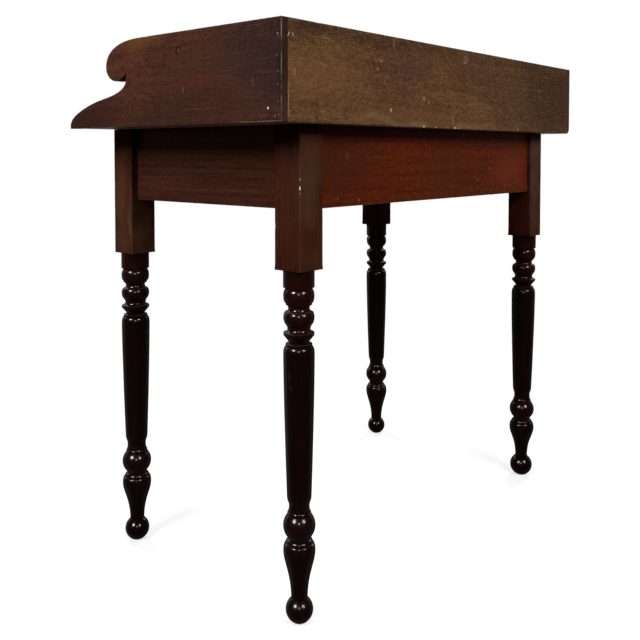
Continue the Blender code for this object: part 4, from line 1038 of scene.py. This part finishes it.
def make_gallery_sides():
    """Scroll-ended side boards, with a rabbet for the back board and a corner split off on the left."""
    line = scroll_line()
    for side_name, side in SIDES.items():
        name = f"gallery_side_{side_name}"
        shape = bmesh.new()
        layers = []
        for across in (side * SIDE_INNER, side * SIDE_PLANE):
            layers.append([shape.verts.new((across, *point)) for point in line])
        shape.faces.new(layers[0])
        shape.faces.new(layers[1])
        for index in range(len(line)):
            before = index - 1
            shape.faces.new((layers[0][before], layers[0][index], layers[1][index], layers[1][before]))
        mesh = to_mesh(name, shape)
        ends = sorted((side * (SIDE_INNER - SPARE), side * LAP_PLANE))
        low = (ends[0], BACK_INNER - FIT, TOP_LOW - SPARE)
        high = (ends[1], BACK_PLANE + SPARE, TOP_HIGH + SPARE)
        mesh = combined(name, mesh, to_mesh(f"{name}_rabbet", box_shape(low, high)), "DIFFERENCE")
        if side < 0:
            split = bmesh.new()
            bmesh.ops.create_cube(split, size=SPLIT_SIZE)
            bmesh.ops.rotate(split, matrix=SPLIT_TURN, verts=split.verts)
            corner = (-SIDE_PLANE - SPLIT_OUT, BACK_PLANE - SPLIT_IN, TOP_LOW - SPLIT_IN)
            bmesh.ops.translate(split, vec=corner, verts=split.verts)
            mesh = combined(name, mesh, to_mesh(f"{name}_split", split), "DIFFERENCE")
        shape = made_whole(shape_of(mesh))
        points = age(shape, *SIDE_WEAR, SIDE_SEED + side)
        mesh = to_mesh(name, shape)
        open_edges = [p for p in points if abs(p.x) > LAP_PLANE + LAP_CLEAR or p.y < BACK_INNER - LAP_CLEAR]
        wear(mesh, open_edges)
        show(f"{name}_scrolled", mesh, gallery_side_stain, "table_frame", "gallery_side_wood", name)


make_gallery_sides()


# Flat boards: how their nodes' names start, finish, slot, body, arris, cell, depth of nicks
BOARDS = [
    ("gallery_back", gallery_back_stain, "gallery_back_wood", "table_frame", 0.0010, 0.008, 0.0008),
    ("writing_top", top_stain, "gallery_side_wood", "table_frame", 0.0012, 0.010, 0.0003),
    ("side_apron", side_apron_stain, "apron_wood", "table_frame", 0.0008, 0.010, 0.0005),
    ("back_apron", back_apron_stain, "apron_wood", "table_frame", 0.0008, 0.010, 0.0005),
    ("drawer_rail", drawer_front_stain, "apron_wood", "table_frame", 0.0010, 0.012, 0.0006),
    ("top_rail", drawer_front_stain, "apron_wood", "table_frame", 0.0007, 0.012, 0.0004),
    ("drawer_front", drawer_front_stain, "apron_wood", "drawer", 0.0010, 0.010, 0.0006),
    ("drawer_side", pine_along, "bare_pine", "drawer", 0.0006, 0.016, 0.0004),
    ("drawer_back", pine_across, "bare_pine", "drawer", 0.0006, 0.016, 0.0004),
    ("drawer_bottom", pine_across, "bare_pine", "drawer", 0.0005, 0.024, 0.0003),
    ("drawer_runner", pine_along, "bare_pine", "table_frame", 0.0010, 0.012, 0.0006),
    ("drawer_guide", pine_along, "bare_pine", "table_frame", 0.0010, 0.012, 0.0006),
    ("drawer_kicker", pine_along, "bare_pine", "table_frame", 0.0006, 0.012, 0.0004),
    ("drawer_stop", pine_across, "bare_pine", "table_frame", 0.0006, 0.006, 0.0005),
    ("glue_block", pine_across, "bare_pine", "table_frame", 0.0007, 0.008, 0.0006),
]


def make_boards():
    """Aged copies of the CAD boards, with all their joints."""
    seed = BOARD_SEED
    for start, finish, slot, body, arris, cell, nicks in BOARDS:
        for name in sorted(each for each in nodes if each.startswith(start)):
            shape = from_node(name)
            points = age(shape, arris, cell, nicks, seed)
            mesh = to_mesh(name, shape)
            wear(mesh, [point for point in points if abs(point.x) < LAP_PLANE - LAP_CLEAR])
            show(f"{name}_aged", mesh, finish, body, slot, name)
            seed += 1
            if name == "gallery_back":
                # Its inside was kept from the light and is stained like the top
                mesh.materials.append(top_stain)
                for face in mesh.polygons:
                    face.material_index = int(face.normal.y < -0.5)


make_boards()

# The screws keep their CAD shape
for node in nodes.values():
    if not node.hide_render:
        for slot in node.material_slots:
            slot.material = iron


# Nails

def nail_tree():
    """Geometry nodes that set a low domed nail head on each point, facing the way its point faces."""
    inputs = {"Places": "Geometry", "Head Radius": "Float", "Head Height": "Float", "Finish": "Material"}
    tree, given = new_tree("nail_heads", inputs, "Nails")
    dome = add(tree, "GeometryNodeMeshUVSphere", {"Segments": 14, "Rings": 8, "Radius": 1.0})
    radius, height = given.outputs["Head Radius"], given.outputs["Head Height"]
    low = add(tree, "ShaderNodeCombineXYZ", {0: radius, 1: radius, 2: height})
    head = add(tree, "GeometryNodeTransform", {"Geometry": dome.outputs["Mesh"], "Scale": low})
    facing = add(tree, "GeometryNodeInputNamedAttribute", {"Name": "facing"}, data_type="FLOAT_VECTOR")
    girth = add(tree, "GeometryNodeInputNamedAttribute", {"Name": "girth"}, data_type="FLOAT")
    turn = add(tree, "FunctionNodeAlignRotationToVector", {"Vector": facing}, axis="Z")
    nailed = {"Points": given.outputs["Places"], "Instance": head, "Rotation": turn, "Scale": girth}
    end_tree(tree, add(tree, "GeometryNodeInstanceOnPoints", nailed), given)
    return tree


def make_nails():
    """Nails of the gallery: up the rear edge of each side, and through the back into the top."""
    places, facings = [], []
    for side in (1, -1):
        for depth, height in SIDE_NAILS:
            places.append((side * (SIDE_PLANE - SIDE_NAIL_SINK), depth, height))
            facings.append((side, 0.0, 0.0))
    for across in BACK_NAILS:
        places.append((across, BACK_PLANE - BACK_NAIL_SINK, BACK_NAIL_LEVEL))
        facings.append((0.0, 1.0, 0.0))
    mesh = bpy.data.meshes.new("gallery_nails")
    mesh.from_pydata(places, [], [])
    mesh.attributes.new("facing", "FLOAT_VECTOR", "POINT")
    mesh.attributes.new("girth", "FLOAT", "POINT")
    # Fetched by name, because each new attribute moves the ones before it
    for index, facing in enumerate(facings):
        mesh.attributes["facing"].data[index].vector = facing
        chance = noise.noise(Vector(places[index]) * NAIL_WAVES)
        mesh.attributes["girth"].data[index].value = NAIL_GIRTH + NAIL_VARIETY * chance
    sizes = {"Head Radius": NAIL_RADIUS, "Head Height": NAIL_HEIGHT, "Finish": nail_iron}
    nails = worked(mesh, nail_tree(), sizes)
    nails.name = "gallery_nails"
    piece = linked("gallery_nails", nails)
    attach(piece, "table_frame")


make_nails()


# Floor, light and camera

def seen_rays(tree):
    """1 for what the eye, a gloss or a glass sees, and 0 for the light that bounces."""
    rays = add(tree, "ShaderNodeLightPath").outputs
    seen = rays["Is Camera Ray"]
    for kind in ("Is Glossy Ray", "Is Transmission Ray"):
        seen = add(tree, "ShaderNodeMath", {0: seen, 1: rays[kind]}, operation="MAXIMUM")
    return seen


def make_floor():
    """A wide white floor: it keeps soft shadows near the table and turns into plain white further out."""
    shape = bmesh.new()
    bmesh.ops.create_circle(shape, cap_ends=True, segments=FLOOR_SIDES, radius=FLOOR_RADIUS)
    floor = linked("floor", to_mesh("floor", shape))
    material, tree, shader = blank("white_studio_floor")
    tree.nodes.remove(shader)
    place = add(tree, "ShaderNodeTexCoord").outputs["Object"]
    distance = add(tree, "ShaderNodeVectorMath", {0: place}, operation="LENGTH")
    fade = {0: distance.outputs["Value"], 1: FADE_START, 2: FADE_END, 3: FLOOR_GLOW, 4: 1.0}
    glow_share = add(tree, "ShaderNodeMapRange", fade, interpolation_type="SMOOTHSTEP")
    lit = add(tree, "ShaderNodeBsdfDiffuse", {"Color": linear("#f6f6f6")})
    glow = add(tree, "ShaderNodeEmission", {"Color": (1.0, 1.0, 1.0, 1.0), "Strength": 1.0})
    pale = add(tree, "ShaderNodeMixShader", {0: glow_share, 1: lit, 2: glow})
    dim = add(tree, "ShaderNodeBsdfDiffuse", {"Color": linear("#2c2c2c")})
    ground = add(tree, "ShaderNodeMixShader", {0: seen_rays(tree), 1: dim, 2: pale})
    tree.links.new(ground.outputs[0], tree.nodes["Material Output"].inputs["Surface"])
    floor.data.materials.append(material)


def make_world():
    """White to the eye, and a low even fill for the rest."""
    world = bpy.data.worlds.new("white_studio")
    bpy.context.scene.world = world
    world.use_nodes = True
    tree = world.node_tree
    level = add(tree, "ShaderNodeMapRange", {0: seen_rays(tree), 3: FILL_LEVEL, 4: 1.0})
    tree.nodes["Background"].inputs["Color"].default_value = (1.0, 1.0, 1.0, 1.0)
    tree.links.new(level.outputs[0], tree.nodes["Background"].inputs["Strength"])


# Lamps: place, aim, size and power; those that gleam light no surface, and only polished pieces mirror them
LAMPS = {
    "softbox_right": ((3.00, 0.05, 2.45), (0.3, 0.0, 0.60), 1.30, SOFTBOX_POWER),
    "softbox_back": ((0.69, 2.81, 2.45), (0.0, 0.2, 0.60), 1.30, SOFTBOX_POWER),
    "softbox_left": ((-3.06, -0.40, 1.90), (-0.3, 0.0, 0.60), 0.80, 0.75 * SOFTBOX_POWER),
    "softbox_front": ((-0.50, -3.00, 1.60), (0.0, -0.2, 0.60), 0.80, 0.75 * SOFTBOX_POWER),
    "gleam_right": ((3.04, 0.05, 2.05), (0.3, 0.0, 0.60), 0.85, GLEAM_POWER),
    "gleam_back": ((0.69, 2.85, 2.05), (0.0, 0.2, 0.60), 0.85, 0.5 * GLEAM_POWER),
    "gleam_middle": ((1.70, 1.34, 1.02), (0.2, 0.1, 0.55), 0.30, 0.05 * GLEAM_POWER),
    "gleam_front": ((-0.50, -2.98, 1.58), (0.0, -0.2, 0.60), 0.45, 0.17 * GLEAM_POWER),
    "gleam_left": ((-3.04, -0.40, 1.86), (-0.3, 0.0, 0.60), 0.45, 0.17 * GLEAM_POWER),
}


def make_lights():
    """A square softbox for each side of the table, and square lamps that only gleam on polish."""
    polished = bpy.data.collections.new("polished_pieces")
    for piece in bpy.context.scene.collection.all_objects:
        if piece.type == "MESH" and turned_polish in piece.data.materials[:]:
            polished.objects.link(piece)
    for name, (place, aim, size, power) in LAMPS.items():
        lamp = bpy.data.lights.new(name, "AREA")
        lamp.shape = "SQUARE"
        lamp.size = size
        lamp.energy = power
        holder = linked(name, lamp)
        holder.location = place
        holder.rotation_euler = (Vector(aim) - Vector(place)).to_track_quat("-Z", "Y").to_euler()
        if name.startswith("gleam"):
            holder.visible_diffuse = False
            holder.light_linking.receiver_collection = polished


def make_camera():
    """Eye level just below the top, with the lens shifted down as in the photograph."""
    forward = Vector((math.cos(TIP) * math.cos(BEARING), math.cos(TIP) * math.sin(BEARING), math.sin(TIP)))
    right = forward.cross(Vector((0.0, 0.0, 1.0))).normalized()
    up = right.cross(forward)
    lens = bpy.data.cameras.new("photo_camera")
    lens.sensor_width = SENSOR_WIDTH
    lens.lens = FOCAL_LENGTH / PHOTO_SIDE * SENSOR_WIDTH
    lens.shift_x = (PHOTO_SIDE / 2 - OPTICAL_CENTRE[0]) / PHOTO_SIDE
    lens.shift_y = -(PHOTO_SIDE / 2 - OPTICAL_CENTRE[1]) / PHOTO_SIDE
    camera = linked("photo_camera", lens)
    camera.matrix_world = Matrix.Translation(EYE) @ Matrix((right, up, -forward)).transposed().to_4x4()
    bpy.context.scene.camera = camera


make_floor()
make_world()
make_lights()
make_camera()
bpy.context.scene.view_settings.view_transform = "Standard"
